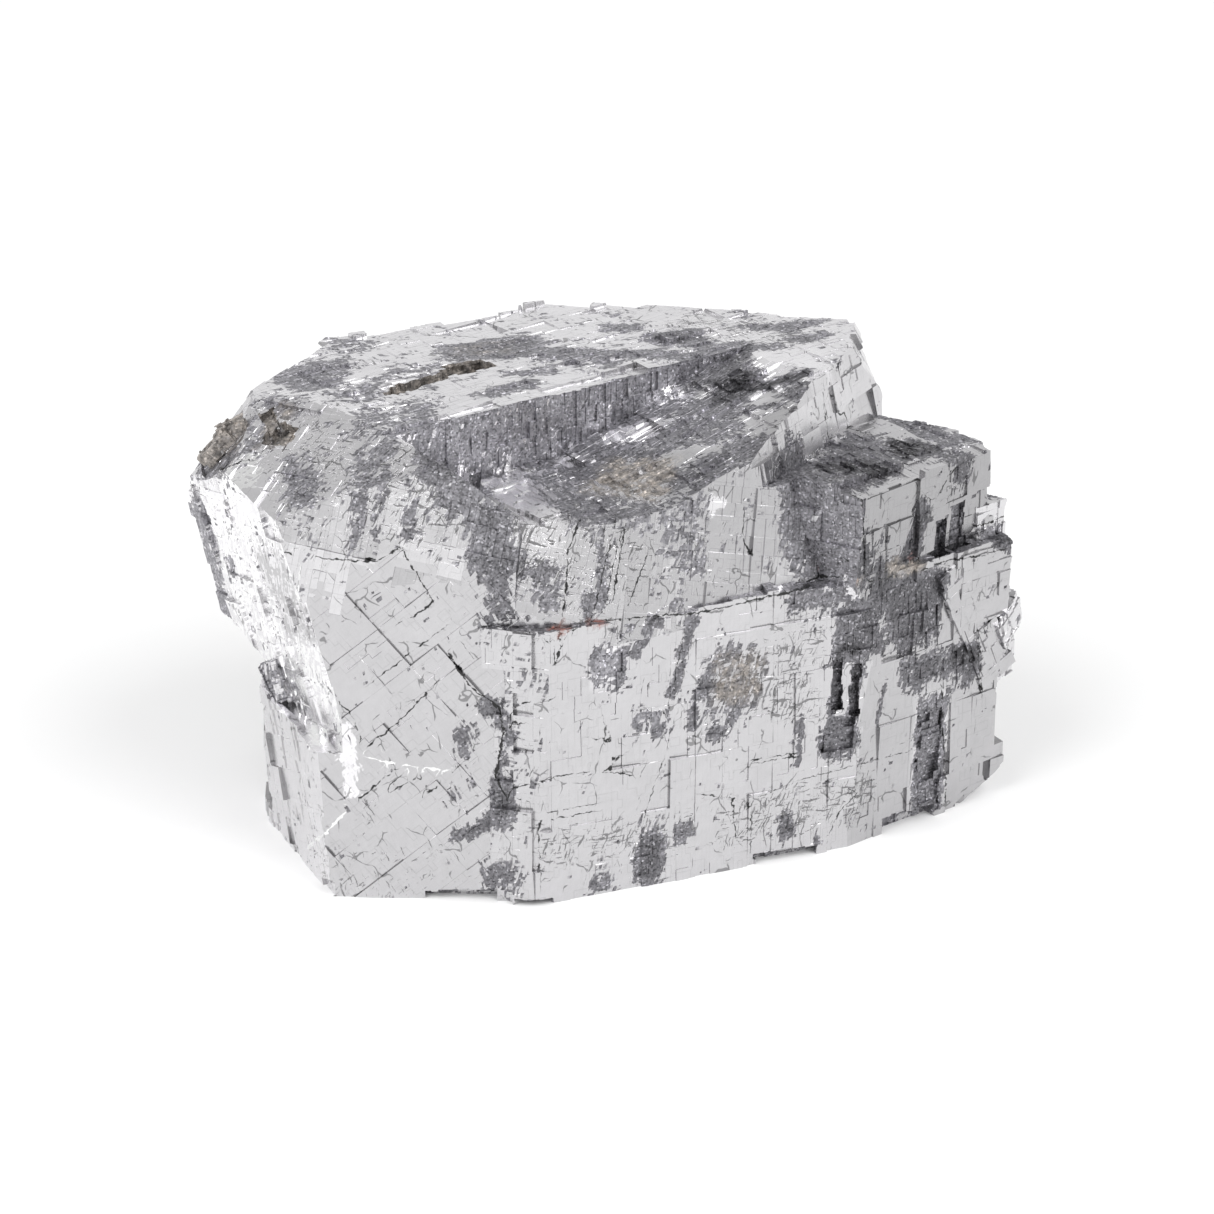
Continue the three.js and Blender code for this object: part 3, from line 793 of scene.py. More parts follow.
# A painted highlight on the tier's bright spot.
mark("painted_glint", TIER_RIGHT, (1, (10.5, -14, 37), (1, 0.8), 10, 0.3))
mark("streaky", TIER_LEFT, (1, (-5, -20.5, 35), (4.5, 5), 15))
mark(
    "streaky", TIER_RIGHT,
    (1, (0, -20.5, 33), (4.5, 4), 10),
    (0.7, (13, -14.5, 30.5), (6, 2), 10),
)

# The bevel: mottled and stepped, brown near its pocket.
mark(
    "dull", BEVEL,
    (0.6, (-20.5, -13, 44), (1.5, 4.5), 20, 1.2),
    (0.8, (-32, -7, 42.5), (2, 4), 15, 1.5),
    (0.6, (-21, -11, 44.5), (3.5, 2.5)),
)
mark("warm", BEVEL, (0.7, (-31.5, -7.5, 42.5), (1.5, 3.5), 15, 1.2))

# Granular seams cross the plateau: at its left end, and beside the groove.
mark(
    "dull", PLATEAU_TOP,
    (0.9, (-29, 3, 44), (3.5, 3.5), -40),
    (0.7, (-24, -3, 44), (3, 2.5), -40, 1.5),
    (1.1, (-11.5, 9, 43.5), (3, 5), -25, 0.8),
    (0.9, (-2.5, 7, 44), (4.5, 2), 45, 0.8),
    (1, (5.5, 7.5, 44), (1.5, 4), -40, 0.6),
    (1, (11.5, 8, 43), (3, 2.5), -25, 0.6, 1.5),
    (1.6, (15, 3, 43), (2, 4.5), -25, 0.5, 1.5),
    (1.1, (-7.5, 9.5, 44), (2.5, 0.8), -40, 0.4),
    (1.1, (6, 12.5, 44.5), (1.5, 2.5), -40, 0.8),
    (1, (1.5, 15.5, 44), (1.2, 2), -40, 0.6),
    (0.8, (-25.5, 11, 43.5), (2, 2.5), -40),
    (0.7, (-19, 2.5, 44.5), (2, 3), -40),
    (0.8, (-18, -8.5, 44.5), (3, 2), -40),
    (1, (-28, 1.5, 44), (2.5, 2), -40),
    (1.1, (16.5, 15.5, 44), (2.5, 0.8), 40, 0.5),
    (1.1, (8.5, 13, 44), (1.2, 2), -45, 0.5),
    (1.1, (15.5, 9.5, 44), (1.2, 2), -40, 0.5),
    (1, (20.5, 16.5, 44), (1.2, 1), 35, 0.5),
    (1, (20.5, 12, 44), (1.5, 2), -20, 0.5),
    (0.9, (-9.5, -2, 44), (0.8, 4), 0, 0.3),
    (0.9, (-7.5, 2.5, 44), (0.8, 3), -20, 0.3),
)
mark("streaky", PLATEAU_TOP, (1, (13.5, 14, 44), (4.5, 8), -40))
mark("warm", PLATEAU_TOP, (0.45, (-12.5, 9, 43.5), (2.5, 4), -25, 0.8))

# The back: wide granular zones run down between smoother plates.
mark(
    "dull", BACK,
    (1.1, (2, 23, 33), (4, 8), 15, 2, 4),
    (1, (15, 21, 22), (3, 11), -15, 2, 4),
    (0.9, (5, 24, 9), (9, 3), 15, 2, 4),
    (1, (24, 19, 10), (3, 6), -30, 2, 4),
    (1, (20, 19, 38), (7, 3), 20, 2, 4),
)
mark(
    "dull", BACK_LEFT,
    (1.1, (-20, 17, 28), (3, 10), 15, 2, 4),
    (0.9, (-27, 14, 11), (7, 3), -20, 2, 4),
    (0.9, (-12, 21, 14), (2.5, 8), 10, 2, 4),
)
mark(
    "dull", RIGHT_END,
    (1, (35, 5, 14), (3.5, 6), -20, 1.5),
    (0.9, (36.5, 2, 33), (2, 4), 10, 1.5),
)
mark("dull", BACK_RIGHT, (1, (30, 9, 25), (3, 9), -20, 2, 4))
mark("dull", FAR_LEFT_LOWER, (0.9, (-38, 3, 24), (4, 6), 20, 2, 4))
mark("streaky", BACK, (1, (9, 22, 32), (9, 8), 0, 2, 4))
mark("streaky", BACK_LEFT, (1, (-24, 16, 36), (7, 6), 0, 2, 4))

# Broken ground: slivers of bright terraces in the dull slope, and a painted deep shade under the wall's left
# end.
mark("dull", WALL, (1.8, (-15, -16, 44.5), (2.5, 1.5), -15, 0.8))
mark(
    "dull", BROKEN_GROUND,
    (0.1, (-3.5, -4, 38), (1.5, 0.6), 35, 0.4, 1),
    (0.1, (-8, -6.5, 37.5), (0.8, 5.5), -35, 0.4, 1),
    (0, (2.5, -1, 39.5), (1.2, 3), -35, 0.3, 1.5),
    (0, (8, 3.5, 41.5), (2.5, 0.8), 40, 0.3, 0.6),
    (0, (8, -7.5, 39.5), (1.2, 3), -35, 0.3, 1.5),
    (0.1, (-13.5, -9, 37.5), (3, 0.8), 35, 0.5, 1),
    (0, (15.5, 0, 42.5), (1.5, 1.5), -45, 0.3, 1.2),
    (0.1, (16, -4.5, 42), (2, 2.5), -40, 0.3, 1.5),
)
mark("dull", PLATEAU_TOP, (0, (18, 6, 44), (3, 3.5), -35, 0.5, 1))
mark(
    "dull", BROKEN_GROUND,
    (0.6, (0, -12.5, 37.5), (11.5, 2.5), 35),
    (0, (-7.5, -16, 38), (7.5, 2), -15, 0.4, 2.5),
)
mark("dull", BEVEL, (0.1, (-18.5, -15.5, 44), (0.8, 2.5), 30, 0.4, 1))
mark("dull", LIGHT_BAND, (1.3, (23, 5.5, 43.5), (0.8, 0.6), -20, 0.4))
# Raised tone paints light on bright places of the broken ground and of the plateau.
mark("tone", BROKEN_GROUND, (1.2, (6, -1, 41), (9, 5), 35, 0.5))
mark("tone", PLATEAU_TOP, (1.45, (18, 6, 44), (3, 3.5), -35, 0.5, 1))
mark("tone", BROKEN_GROUND, (1.25, (-7.5, -16, 38), (7.5, 2), -15, 0.4, 2.5))
mark("warm", BROKEN_GROUND, (0.8, (2.5, -9.5, 37.5), (4.5, 4), 35, 1.5))

# The cleavage crack right across the block.
crack(
    TIER_RIGHT,
    (0.35, (-10, -22.5, 28.5), (-6, -23, 28.5), (1, -22, 29)),
    (0.9, (1, -22, 29), (8.5, -18.5, 28), (14.5, -16.5, 28.5)),
    (1.4, (14.5, -16.5, 28.5), (18.5, -14, 28.5), (21.5, -12.5, 29)),
)
crack(FRONT_RIGHT, (1.0, (21.5, -12.5, 29), (28, -9.5, 28), (33.5, -6.5, 28), (38.5, -2.5, 27.5)))

# On the front: the rim of its smooth plate, an upright one, and broken ones above the rough foot.
crack(
    FRONT,
    (0.5, (6.5, -19.5, 17), (3.5, -20.5, 7)),
    (0.8, (-8.5, -23, 20.5), (-7.5, -23.5, 21), (-6, -24, 21.5)),
    (0.9, (-8, -24, 12.5), (-5, -24.5, 13.5), (-1.5, -23, 13.5), (1.5, -21, 12.5)),
    (0.8, (10, -18.5, 8.5), (14.5, -16.5, 7)),
    (0.5, (14.5, -16.5, 7.5), (19, -15, 8.5), (24.5, -12.5, 9), (30, -9, 8.5)),
    (1.0, (-6.5, -24.5, 9), (-4.5, -23.5, 9), (-2, -23, 9)),
    (0.6, (-6.5, -24.5, 9), (-6.5, -24.5, 4)),
    (0.6, (14, -17, 7), (14, -17, 1)),
    (1.0, (22, -13.5, 2.5), (22.5, -13.5, 4), (23.5, -13, 5)),
    (0.8, (15, -16.5, 11.5), (17.5, -15.5, 11.5)),
    (0.7, (-0.5, -22.5, 16.5), (0.5, -22, 16), (0, -22, 17.5)),
    (0.6, (12, -17.5, 8), (12.5, -17.5, 3.5)),
    (0.7, (-5, -23.5, 27.5), (-4.5, -23.5, 28.5), (-3, -23, 28.5)),
    (1.0, (-5, -23.5, 25.5), (-4, -23.5, 27.5)),
    (0.6, (6, -19.5, 19.5), (7, -19, 25.5)),
)

# Across the left front: the rim of its smooth plate, two long ones, and pale veins.
crack(
    LEFT_FRONT,
    (1.1, (-29, -20.5, 35), (-25.5, -20, 34.5), (-21, -20.5, 34.5), (-19, -20, 36),
     (-18, -21, 34), (-16, -22, 30.5), (-18.5, -22.5, 29)),
    (0.6, (-21.5, -22.5, 23), (-16, -22.5, 27.5)),
    (0.9, (-22, -22, 16.5), (-19.5, -22.5, 18.5), (-16.5, -22, 22)),
    (1.0, (-24.5, -22.5, 9.5), (-20, -22.5, 13.5)),
    (0.7, (-20, -23, 11.5), (-17.5, -23, 13), (-17, -23.5, 11), (-14.5, -23, 13.5)),
    (0.8, (-26, -21, 21), (-24, -22.5, 19), (-23, -22, 16)),
    (-1.2, (-23.5, -22.5, 15), (-19.5, -22.5, 14), (-15.5, -23.5, 13.5)),
    (-1.3, (-24, -22.5, 10), (-27.5, -20, 5.5), (-30, -14.5, 0.5)),
    (-0.8, (-28.5, -21, 33.5), (-29, -17, 24.5)),
    # The gash between the two fronts, and steep ones in the tier.
    (1.5, (-14.5, -22, 25), (-12.5, -22.5, 22), (-10.5, -22.5, 20.5), (-9.5, -23.5, 19),
     (-10, -23.5, 16.5), (-10.5, -23, 13), (-10, -23.5, 12)),
)
crack(BAND, (1.1, (-36, -8.5, 39), (-34, -8.5, 40), (-33, -9, 40)))
crack(TIER_RIGHT, (0.9, (13, -13, 35), (13, -13.5, 33.5), (13.5, -13.5, 32)))
crack(
    TIER_LEFT,
    (1.0, (-4, -22, 30), (-3.5, -20.5, 36), (-3, -20, 37)),
    (0.8, (0.5, -19.5, 36.5), (-1, -21.5, 30.5)),
    (0.8, (1.5, -19, 36), (0.5, -21.5, 30.5)),
)
crack(TIER_RIGHT, (0.8, (3.5, -19, 33.5), (2.5, -20.5, 31)))

# The buttress and the pale band are crossed by stair-stepped ones.
crack(
    LIGHT_BAND,
    (0.9, (22, 3, 41.5), (22.5, 3.5, 40.5), (22.5, 3, 39.5), (23.5, 4.5, 39), (24, 4, 37.5)),
    (0.6, (21.5, 1.5, 42), (21.5, 1, 38.5)),
)
crack(
    BUTTRESS_FRONT,
    (0.8, (30, -8.5, 36.5), (31, -8, 35), (32.5, -6.5, 34.5), (32.5, -6.5, 36), (33.5, -5, 37)),
)
crack(
    FRONT_RIGHT,
    (0.9, (33.5, -7.5, 14.5), (34, -6, 1.5)),
    (0.7, (37.5, -5.5, 19), (38, -5, 13)),
)
crack(BUTTRESS_FRONT, (0.8, (24, -13.5, 37.5), (24.5, -13, 30)))

# The back.
crack(
    BACK,
    (1.1, (-5, 24, 41), (-4, 25, 30), (-1, 25, 27), (0, 25, 15)),
    (0.9, (0, 24, 27), (9, 22, 28), (14, 21, 27), (26, 18, 29)),
    (0.8, (10, 22, 40), (11, 22.5, 31)),
    (0.9, (11, 23.5, 16), (19, 21.5, 14), (20, 22, 4)),
)
crack(
    BACK_LEFT,
    (1, (-31, 11, 30), (-23, 15, 31), (-21, 16.5, 24), (-12, 20.5, 25)),
    (0.8, (-25, 16, 18), (-24, 17, 5)),
)
crack(RIGHT_END, (0.9, (38.5, -1.5, 30), (36.5, 2, 29), (36, 3, 20), (33, 8.5, 19)))


# ---- the block ----


def block_solid(terrace):
    """The whole block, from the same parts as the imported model: faces are met, parts joined and pits cut."""
    made = {}

    def behind(face):
        if face not in made:
            made[face] = sheet_mesh(face, terrace)
        return made[face]

    def meet(*parts):
        return combine("INTERSECT", [behind(part) if isinstance(part, Face) else part for part in parts])

    def chip(middle, size, face):
        """A small block: six sheets, one on each side, at half its size along the face's u, v and n."""
        basis = face.basis()
        sides = []
        for a, b, c, sign in (
            (0, 1, 2, 1), (1, 2, 0, 1), (2, 0, 1, 1), (1, 0, 2, -1), (2, 1, 0, -1), (0, 2, 1, -1),
        ):
            axes = np.array([basis[a], basis[b], sign * basis[c]])
            side = replace(face, at=tuple(middle + axes[2] * size[c] / 2), seed=sum(size) + c + 4 * sign)
            sides.append(sheet_mesh(side, terrace, axes))
        return combine("INTERSECT", sides)

    hidden = meet(BASE, BACK_LEFT, BACK, FAR_LEFT_UPPER, FAR_LEFT_LOWER, PLATEAU_TOP)
    lower_front = meet(FRONT, FRONT_RIGHT)
    tier_front = meet(TIER_RIGHT, TIER_LEFT)
    right = meet(RIGHT_END, RIGHT_FOOT, BACK_RIGHT)
    above_crack = plain(0, -90, (0, 0, CRACK_Z - 2))
    past_end = plain(-90, 0, (-25, 0, PLATEAU_Z))
    past_band = plain(-90, 0, (-12, 0, 30))
    heart_sides = plain(-90, 0, (-22, 0, 0)), plain(0, 90, (0, 0, HEART_Z))
    left_sides = BEVEL, SHOULDER, LEFT_END, LEFT_HOLLOW, plain(90, 0, (-22, 0, PLATEAU_Z))
    cap_end = meet(hidden, above_crack, past_end, BEVEL, CAP_END, CAP_END_LOW)
    parts = {
        "heart": meet(hidden, LEFT_FRONT, lower_front, tier_front, right, *heart_sides),
        "left_upper": meet(hidden, LEFT_FRONT, BAND, *left_sides),
        "spur": meet(hidden, LEFT_FRONT, BAND, BEVEL, past_end, SPUR_BACK, SPUR_EDGE),
        "left_lower": meet(hidden, LEFT_FRONT, lower_front, right, LEFT_FOOT, LEFT_FLANK, LEFT_SHELF),
        "lower_right": meet(hidden, FRONT_CORNER, FRONT_EDGE, lower_front, right, CRACK_SHELF),
        "tier": meet(hidden, above_crack, past_band, LEFT_FRONT, tier_front, right, LEDGE),
        "buttress": meet(hidden, above_crack, BUTTRESS_FRONT, BUTTRESS_SIDE, right, BUTTRESS_TOP),
        "plateau": meet(cap_end, WALL),
        "broken_ground": meet(cap_end, past_band, LEFT_FRONT, tier_front, BROKEN_GROUND, LIGHT_BAND),
    }
    grown = combine("UNION", [*parts.values(), *[chip(*one) for one in PROUD]])
    return combine("DIFFERENCE", [grown, *[chip(*one) for one in SUNK]])


def lay_patches(mesh, places):
    """Brings each face's finish to its corners, eased there towards every patch that a corner lies in."""
    sizes = read_values(mesh.polygons, "loop_total", np.int32)
    ends = read_values(mesh.loops, "vertex_index", np.int32)
    finish = {}
    for what in FINISHES:
        finish[what] = np.repeat(read_values(mesh.attributes[what].data, "value"), sizes)
        mesh.attributes.remove(mesh.attributes[what])
    for patch in PATCHES:
        share = patch.share(places)[ends]
        finish[patch.what] += share * (patch.value - finish[patch.what])
    for what, value in finish.items():
        keep_values(mesh, what, "CORNER", value)


def draw_cracks(mesh, places):
    """Each point's signed distance to the nearest crack's line, and its ink, which fades beside it."""
    least, line, ink = np.full(len(places), np.inf), np.full(len(places), 9.0), np.zeros(len(places))
    for one in CRACKS:
        distance, signed = one.nearest(places)
        closer = distance < least
        least[closer], line[closer] = distance[closer], signed[closer]
        ink[closer] = one.ink * np.clip(CRACK_FADE - distance[closer], 0, 1)
    keep_values(mesh, "line", "POINT", line)
    keep_values(mesh, "ink", "POINT", ink)


def keep_largest_shell(mesh):
    """Takes out the pockets of air that terraces seal inside: only the shell with most points is kept.

    Every point starts with its own number, and takes the least number that an edge joins it to, until none
    changes.
    """
    a, b = read_values(mesh.edges, "vertices", np.int32, 2).reshape(-1, 2).T
    label = np.arange(len(mesh.vertices))
    while True:
        low = np.minimum(label[a], label[b])
        new = label.copy()
        np.minimum.at(new, a, low)
        np.minimum.at(new, b, low)
        new = new[new]
        if (new == label).all():
            break
        label = new
    largest = np.bincount(label).argmax()
    if (label != largest).any():
        work = bmesh.new()
        work.from_mesh(mesh)
        work.verts.ensure_lookup_table()
        loose = [work.verts[k] for k in np.nonzero(label != largest)[0]]
        bmesh.ops.delete(work, geom=loose, context="VERTS")
        work.to_mesh(mesh)
        work.free()


# ---- materials ----


def add_node(tree, kind, inputs=(), **settings):
    """A node with its settings. Its kind may be followed by its operation. Inputs go by name, or in the order
    of the usable ones. Each is a value, an output socket, or a node, whose first usable output is linked.
    """
    kind, *operation = kind.split()
    node = tree.nodes.new("ShaderNode" + kind)
    settings.update(zip(["operation"], operation))
    for name, value in settings.items():
        setattr(node, name, value)
    usable = [socket for socket in node.inputs if socket.enabled and not socket.is_unavailable]
    named = {socket.name: socket for socket in reversed(usable)}
    pairs = [(named[k], v) for k, v in inputs.items()] if isinstance(inputs, dict) else zip(usable, inputs)
    for socket, value in pairs:
        if isinstance(value, bpy.types.Node):
            value = next(out for out in value.outputs if out.enabled and not out.is_unavailable)
        if isinstance(value, bpy.types.NodeSocket):
            tree.links.new(value, socket)
        elif value is not None:
            socket.default_value = value
    return node


def emptied(owner):
    """add_node for the node tree of a material or a world, which is emptied first."""
    owner.use_nodes = True
    owner.node_tree.nodes.clear()
    return partial(add_node, owner.node_tree)


# Each of the functions below adds the nodes of one finish of the galena. The lattice map is in millimetres
# along the two cleavage traces, so a noise with a scale of 0.28 has patches about 3.6 mm across there, and
# one that is stretched 3.4 by 0.5 has streaks 0.3 mm wide and 2 mm long. A MapRange is given its value, the
# range that this has, and the range it is brought to if not 0 to 1.


def traces(add, lattice):
    """The lattice map wavering a little, and the same with its second trace leaning off square."""
    warp = add("TexNoise", [lattice, 0.5, 2.0])
    warp = add("VectorMath SCALE", [warp.outputs["Color"], 0.9])
    warped = add("VectorMath ADD", [lattice, warp])
    axes = add("SeparateXYZ", [warped])
    leaning = add("Math MULTIPLY_ADD", [axes.outputs["Y"], TRACE_LEAN, axes.outputs["X"]])
    return warped, add("CombineXYZ", [leaning, axes.outputs["Y"]])


def dull_ground(add, lattice, leaning, dull):
    """Where the ground is dull, the noise that makes its edge, and the ragged part of this.

    The break's own share of dull ground is raised or lowered by a broad noise, a ragged one and a number for
    each small step, so that the dull ground ends along the cleavage.
    """
    edge = add("TexNoise", [lattice, 0.28, 2.0])
    edge = add("Math MULTIPLY_ADD", [edge, 0.9, -1.75])
    for size, strength in (((0.25, 0.8, 1.0), 0.45), ((0.7, 0.3, 1.0), 0.35)):
        drawn = add("VectorMath SNAP", [leaning, size])
        step = add("TexWhiteNoise", [drawn], noise_dimensions="2D").outputs["Value"]
        edge = add("Math MULTIPLY_ADD", [step, strength, edge])
    drawn = add("VectorMath MULTIPLY", [drawn, (1.1, 0.45, 1.0)])
    ragged = add("TexNoise", [drawn, 1.0, 5.0, 0.68])
    edge = add("Math MULTIPLY_ADD", [ragged, 1.8, edge])
    ground = add("Math ADD", [dull, edge])
    return add("MapRange", [ground, *SHARP]), edge, ragged


def grains_and_painted_glints(add, spot):
    """The shade of each grain: most are dull, some are dark, and a few are painted bright, a painted glint for
    a grain that turns a bright face up.
    """
    cells = add("TexVoronoi", [spot, 1 / GRAIN])
    pick = add("SeparateColor", [cells.outputs["Color"]])
    grit = add("ValToRGB", [pick])
    ramp = grit.color_ramp
    ramp.elements[0].color = (*[DARK_GRAIN] * 3, 1)
    ramp.elements[1].color = (*[GLINT_GRAIN] * 3, 1)
    # Shades above 1 are painted glints.
    for position, shade in ((0.15, 0.7), (0.4, 0.95), (0.8, 1.15), (0.93, 1.45), (0.975, 2.0)):
        ramp.elements.new(position).color = (shade, shade, shade, 1)
    return grit


def granular_colour(add, settings, leaning, grit, dull, tone):
    """Grains, the brightest of them painted glints, in soft mottling. The duller the ground, the more they
    differ and the darker it is. The tone, with its painted light and shade, scales it all.
    """
    depth = add("Math MAXIMUM", [dull, 0.95])
    speckle = add("Math POWER", [grit, depth])
    granular = add("VectorMath SCALE", [settings.granular, speckle])
    clots = add("VectorMath MULTIPLY", [leaning, (1.5, 0.7, 1.0)])
    clots = add("TexNoise", [clots, 1.0, 5.0, 0.7])
    clots = add("Math MULTIPLY_ADD", [clots, 1.6, 0.2])
    deeper = add("Math POWER", [depth, -1.5])
    deeper = add("Math MULTIPLY", [deeper, clots])
    deeper = add("Math MULTIPLY", [deeper, tone])
    return add("VectorMath SCALE", [granular, deeper])


def sliver_steps(add, lattice, leaning, streaky):
    """Slivers: thin steps along either trace. They crowd together in some places, so a broad noise is added
    to the face's own share."""
    crowd = add("TexNoise", [lattice, 0.13, 2.0])
    crowd = add("Math MULTIPLY_ADD", [crowd, 1.4, -0.7])
    crowd = add("Math ADD", [crowd, streaky])
    slivers = []
    for stretch in ((3.4, 0.5, 1.0), (0.55, 3.0, 1.0)):
        drawn = add("VectorMath MULTIPLY", [leaning, stretch])
        sliver = add("TexNoise", [drawn, 1.0, 4.0, 0.65])
        sliver = add("Math MULTIPLY_ADD", [sliver, 1.6, -0.8])
        sliver = add("Math MULTIPLY_ADD", [crowd, 0.33, sliver])
        slivers.insert(0, add("MapRange", [sliver, 0.46, 0.5]))
    return add("Math MAXIMUM", slivers)


def short_cracks(add, lattice, warped):
    """The edges of irregular plates 3 to 5 mm across, where a broad noise lets them through."""
    plates = add("VectorMath MULTIPLY", [warped, (0.30, 0.21, 1.0)])
    plates = add("TexVoronoi", [plates, 1.0], feature="DISTANCE_TO_EDGE")
    through = add("TexNoise", [lattice, 0.45, 3.0])
    through = add("MapRange", [through, 0.5, 0.62, 0.0, 0.022])
    return add("Math LESS_THAN", [plates, through])


def long_lines(add, lattice, line, ink):
    """The long cracks, and the veins, which are as wide and pale. They waver by up to LINE_WAVER, and reach
    up to LINE_HALF times their ink to either side."""
    waver = add("TexNoise", [lattice, 1.6, 3.0])
    beside = add("Math MULTIPLY_ADD", [waver, 2 * LINE_WAVER, -LINE_WAVER])
    beside = add("Math ADD", [beside, line])
    beside = add("Math ABSOLUTE", [beside])
    swelling = add("TexNoise", [lattice, 0.9, 4.0, 0.7])
    swelling = add("MapRange", [swelling, 0.4, 0.7, 0.0, LINE_HALF])
    lines = []
    for sign in (1.0, -1.0):
        wide = add("Math MULTIPLY", [ink, sign])
        wide = add("Math MULTIPLY", [wide, swelling])
        inside = add("Math SUBTRACT", [wide, beside])
        lines.append(add("MapRange", [inside, -0.02, 0.03]))
    return lines


def hairlines(add, lattice):
    """Terraces 0.5 mm by 0.9 mm have heights in levels, and a hairline stands where the level changes."""
    levels = []
    for shift in (0.0, HAIRLINE):
        moved = add("VectorMath ADD", [lattice, (shift, shift, 0)])
        cell = add("VectorMath SNAP", [moved, (0.5, 0.9, 1.0)])
        swell = add("TexNoise", [cell, 0.2, 2.0, 0.6])
        count = add("Math MULTIPLY", [swell, 6.0])
        levels.append(add("Math FLOOR", [count]))
    change = add("Math SUBTRACT", levels)
    change = add("Math ABSOLUTE", [change])
    return add("Math MINIMUM", [change, 1.0])


def cleaved_colour(add, settings, leaning, marks, factors):
    """A fresh cleavage face: striations along the two traces, mottling and broad smudges. Each mark darkens
    it by its own share, and each factor multiplies its shade: the painted shade of risers, the tone with its
    painted light and shade, and the painted glints."""
    shade = CALM_SHADE
    for stretch, strength in (
        ((7.0, 0.5, 1.0), 0.10), ((0.5, 7.0, 1.0), 0.07), ((1.1, 1.1, 1.0), 0.12), ((0.14, 0.14, 1.0), 0.16),
    ):
        drawn = add("VectorMath MULTIPLY", [leaning, stretch])
        streak = add("TexNoise", [drawn, 1.0, 3.0])
        shade = add("Math MULTIPLY_ADD", [streak, strength, shade])
    darkened = [add("Math MULTIPLY_ADD", [mark, -share, 1.0]) for mark, share in marks]
    for factor in (*darkened, *factors):
        shade = add("Math MULTIPLY", [shade, factor])
    return add("VectorMath SCALE", [settings.cleaved, shade])


def lay_stains(add, settings, spot, colour, grit, edge, warm, rust):
    """Brown gangue, in crumbs, and iron stain over the colour, with ragged edges. Returns the colour and how
    far it is stained."""
    # The grain shades, with their painted glints, also vary the crumbs of gangue and the iron stain.
    crumbs = add("TexNoise", [spot, 1 / CRUMB, 3.0, 0.6])
    crumbs = add("MapRange", [crumbs, 0.35, 0.7, 0.45, 2.2])
    crumbs = add("Math MULTIPLY", [crumbs, grit])
    brown = add("VectorMath SCALE", [settings.gangue, crumbs])
    iron = add("VectorMath SCALE", [settings.rust, grit])
    stains = []
    for amount, over in ((warm, brown), (rust, iron)):
        stain = add("Math MULTIPLY_ADD", [amount, edge, amount])
        stain = add("MapRange", [stain, 0.35, 0.85, 0.0, 0.85])
        colour = add("Mix", [stain, colour, over], data_type="RGBA")
        stains.append(stain)
    return colour, add("Math MAXIMUM", stains)


def cleaved_galena(settings):
    """Galena, lead sulphide, broken along its cleavage.

    A fresh cleavage face is a mirror-bright neutral grey metal. Where the break ran through many small steps
    the ground is dark and granular, with single grains painted bright as glints, and risers are painted
    darker than terraces as their shade. The lines lie over both grounds, and the stains over all of it.
    """
    material = bpy.data.materials.new("cleaved_galena")
    add = emptied(material)
    spot = add("TexCoord").outputs["Object"]
    lattice = add("UVMap", uv_map="lattice")
    dull, tone, warm, rust, streaky, painted_glint, riser, line, ink = [
        add("Attribute", attribute_name=what).outputs["Fac"] for what in (*FINISHES, "riser", "line", "ink")
    ]
    warped, leaning = traces(add, lattice)
    ground, edge, ragged = dull_ground(add, lattice, leaning, dull)
    slivers = sliver_steps(add, lattice, leaning, streaky)
    dark_line, pale_line = long_lines(add, lattice, line, ink)

    grit = grains_and_painted_glints(add, spot)
    granular = granular_colour(add, settings, leaning, grit, dull, tone)
    thin = add("Math MULTIPLY_ADD", [slivers, -0.35, 1.0])
    granular = add("VectorMath SCALE", [granular, thin])

    # Painted shade on risers: the higher a riser, the darker its colour, down to the riser shade.
    riser_painted_shade = add("MapRange", [riser, 0.0, RISER_HIGH, 1.0, RISER_PAINTED_SHADE])
    # Painted glints: where the glint finish, raised by the edge noise, passes the sharp range, the colour is
    # painted brighter.
    painted_glint_brightening = add("Math MULTIPLY_ADD", [edge, 0.6, painted_glint])
    painted_glint_brightening = add("MapRange", [painted_glint_brightening, *SHARP, 1.0, PAINTED_GLINT_GAIN])
    marks = (slivers, 0.6), (short_cracks(add, lattice, warped), 0.5), (hairlines(add, lattice), 0.12)
    bright = cleaved_colour(add, settings, leaning, marks, (riser_painted_shade, tone, painted_glint_brightening))

    colour = add("Mix", [ground, bright, granular], data_type="RGBA")
    colour = add("Mix", [dark_line, colour, (*[LINE_DARK] * 3, 1)], data_type="RGBA")
    colour = add("Mix", [pale_line, colour, (*[VEIN_PALE] * 3, 1)], data_type="RGBA")
    colour, stained = lay_stains(add, settings, spot, colour, grit, edge, warm, rust)

    metal = add("Math SUBTRACT", [1.0, stained])
    roughness = add("MapRange", [ground, 0.0, 1.0, *ROUGHNESS])
    height = add("Math MULTIPLY", [ragged, ground])
    height = add("Math MULTIPLY_ADD", [slivers, -0.2, height])
    bump = add("Bump", {"Strength": 0.5, "Distance": BUMP_HEIGHT, "Height": height})
    shader = add(
        "BsdfPrincipled", {"Base Color": colour, "Metallic": metal, "Roughness": roughness, "Normal": bump}
    )
    add("OutputMaterial", {"Surface": shader})
    return material


def floor_board(settings):
    """Matt white laminate: it has no pattern, and light spreads evenly over it."""
    material = bpy.data.materials.new("matt_white_laminate")
    add = emptied(material)
    shader = add("BsdfPrincipled", {"Base Color": (*settings.floor, 1), "Roughness": 0.8})
    add("OutputMaterial", {"Surface": shader})
    return material


# ---- operators ----


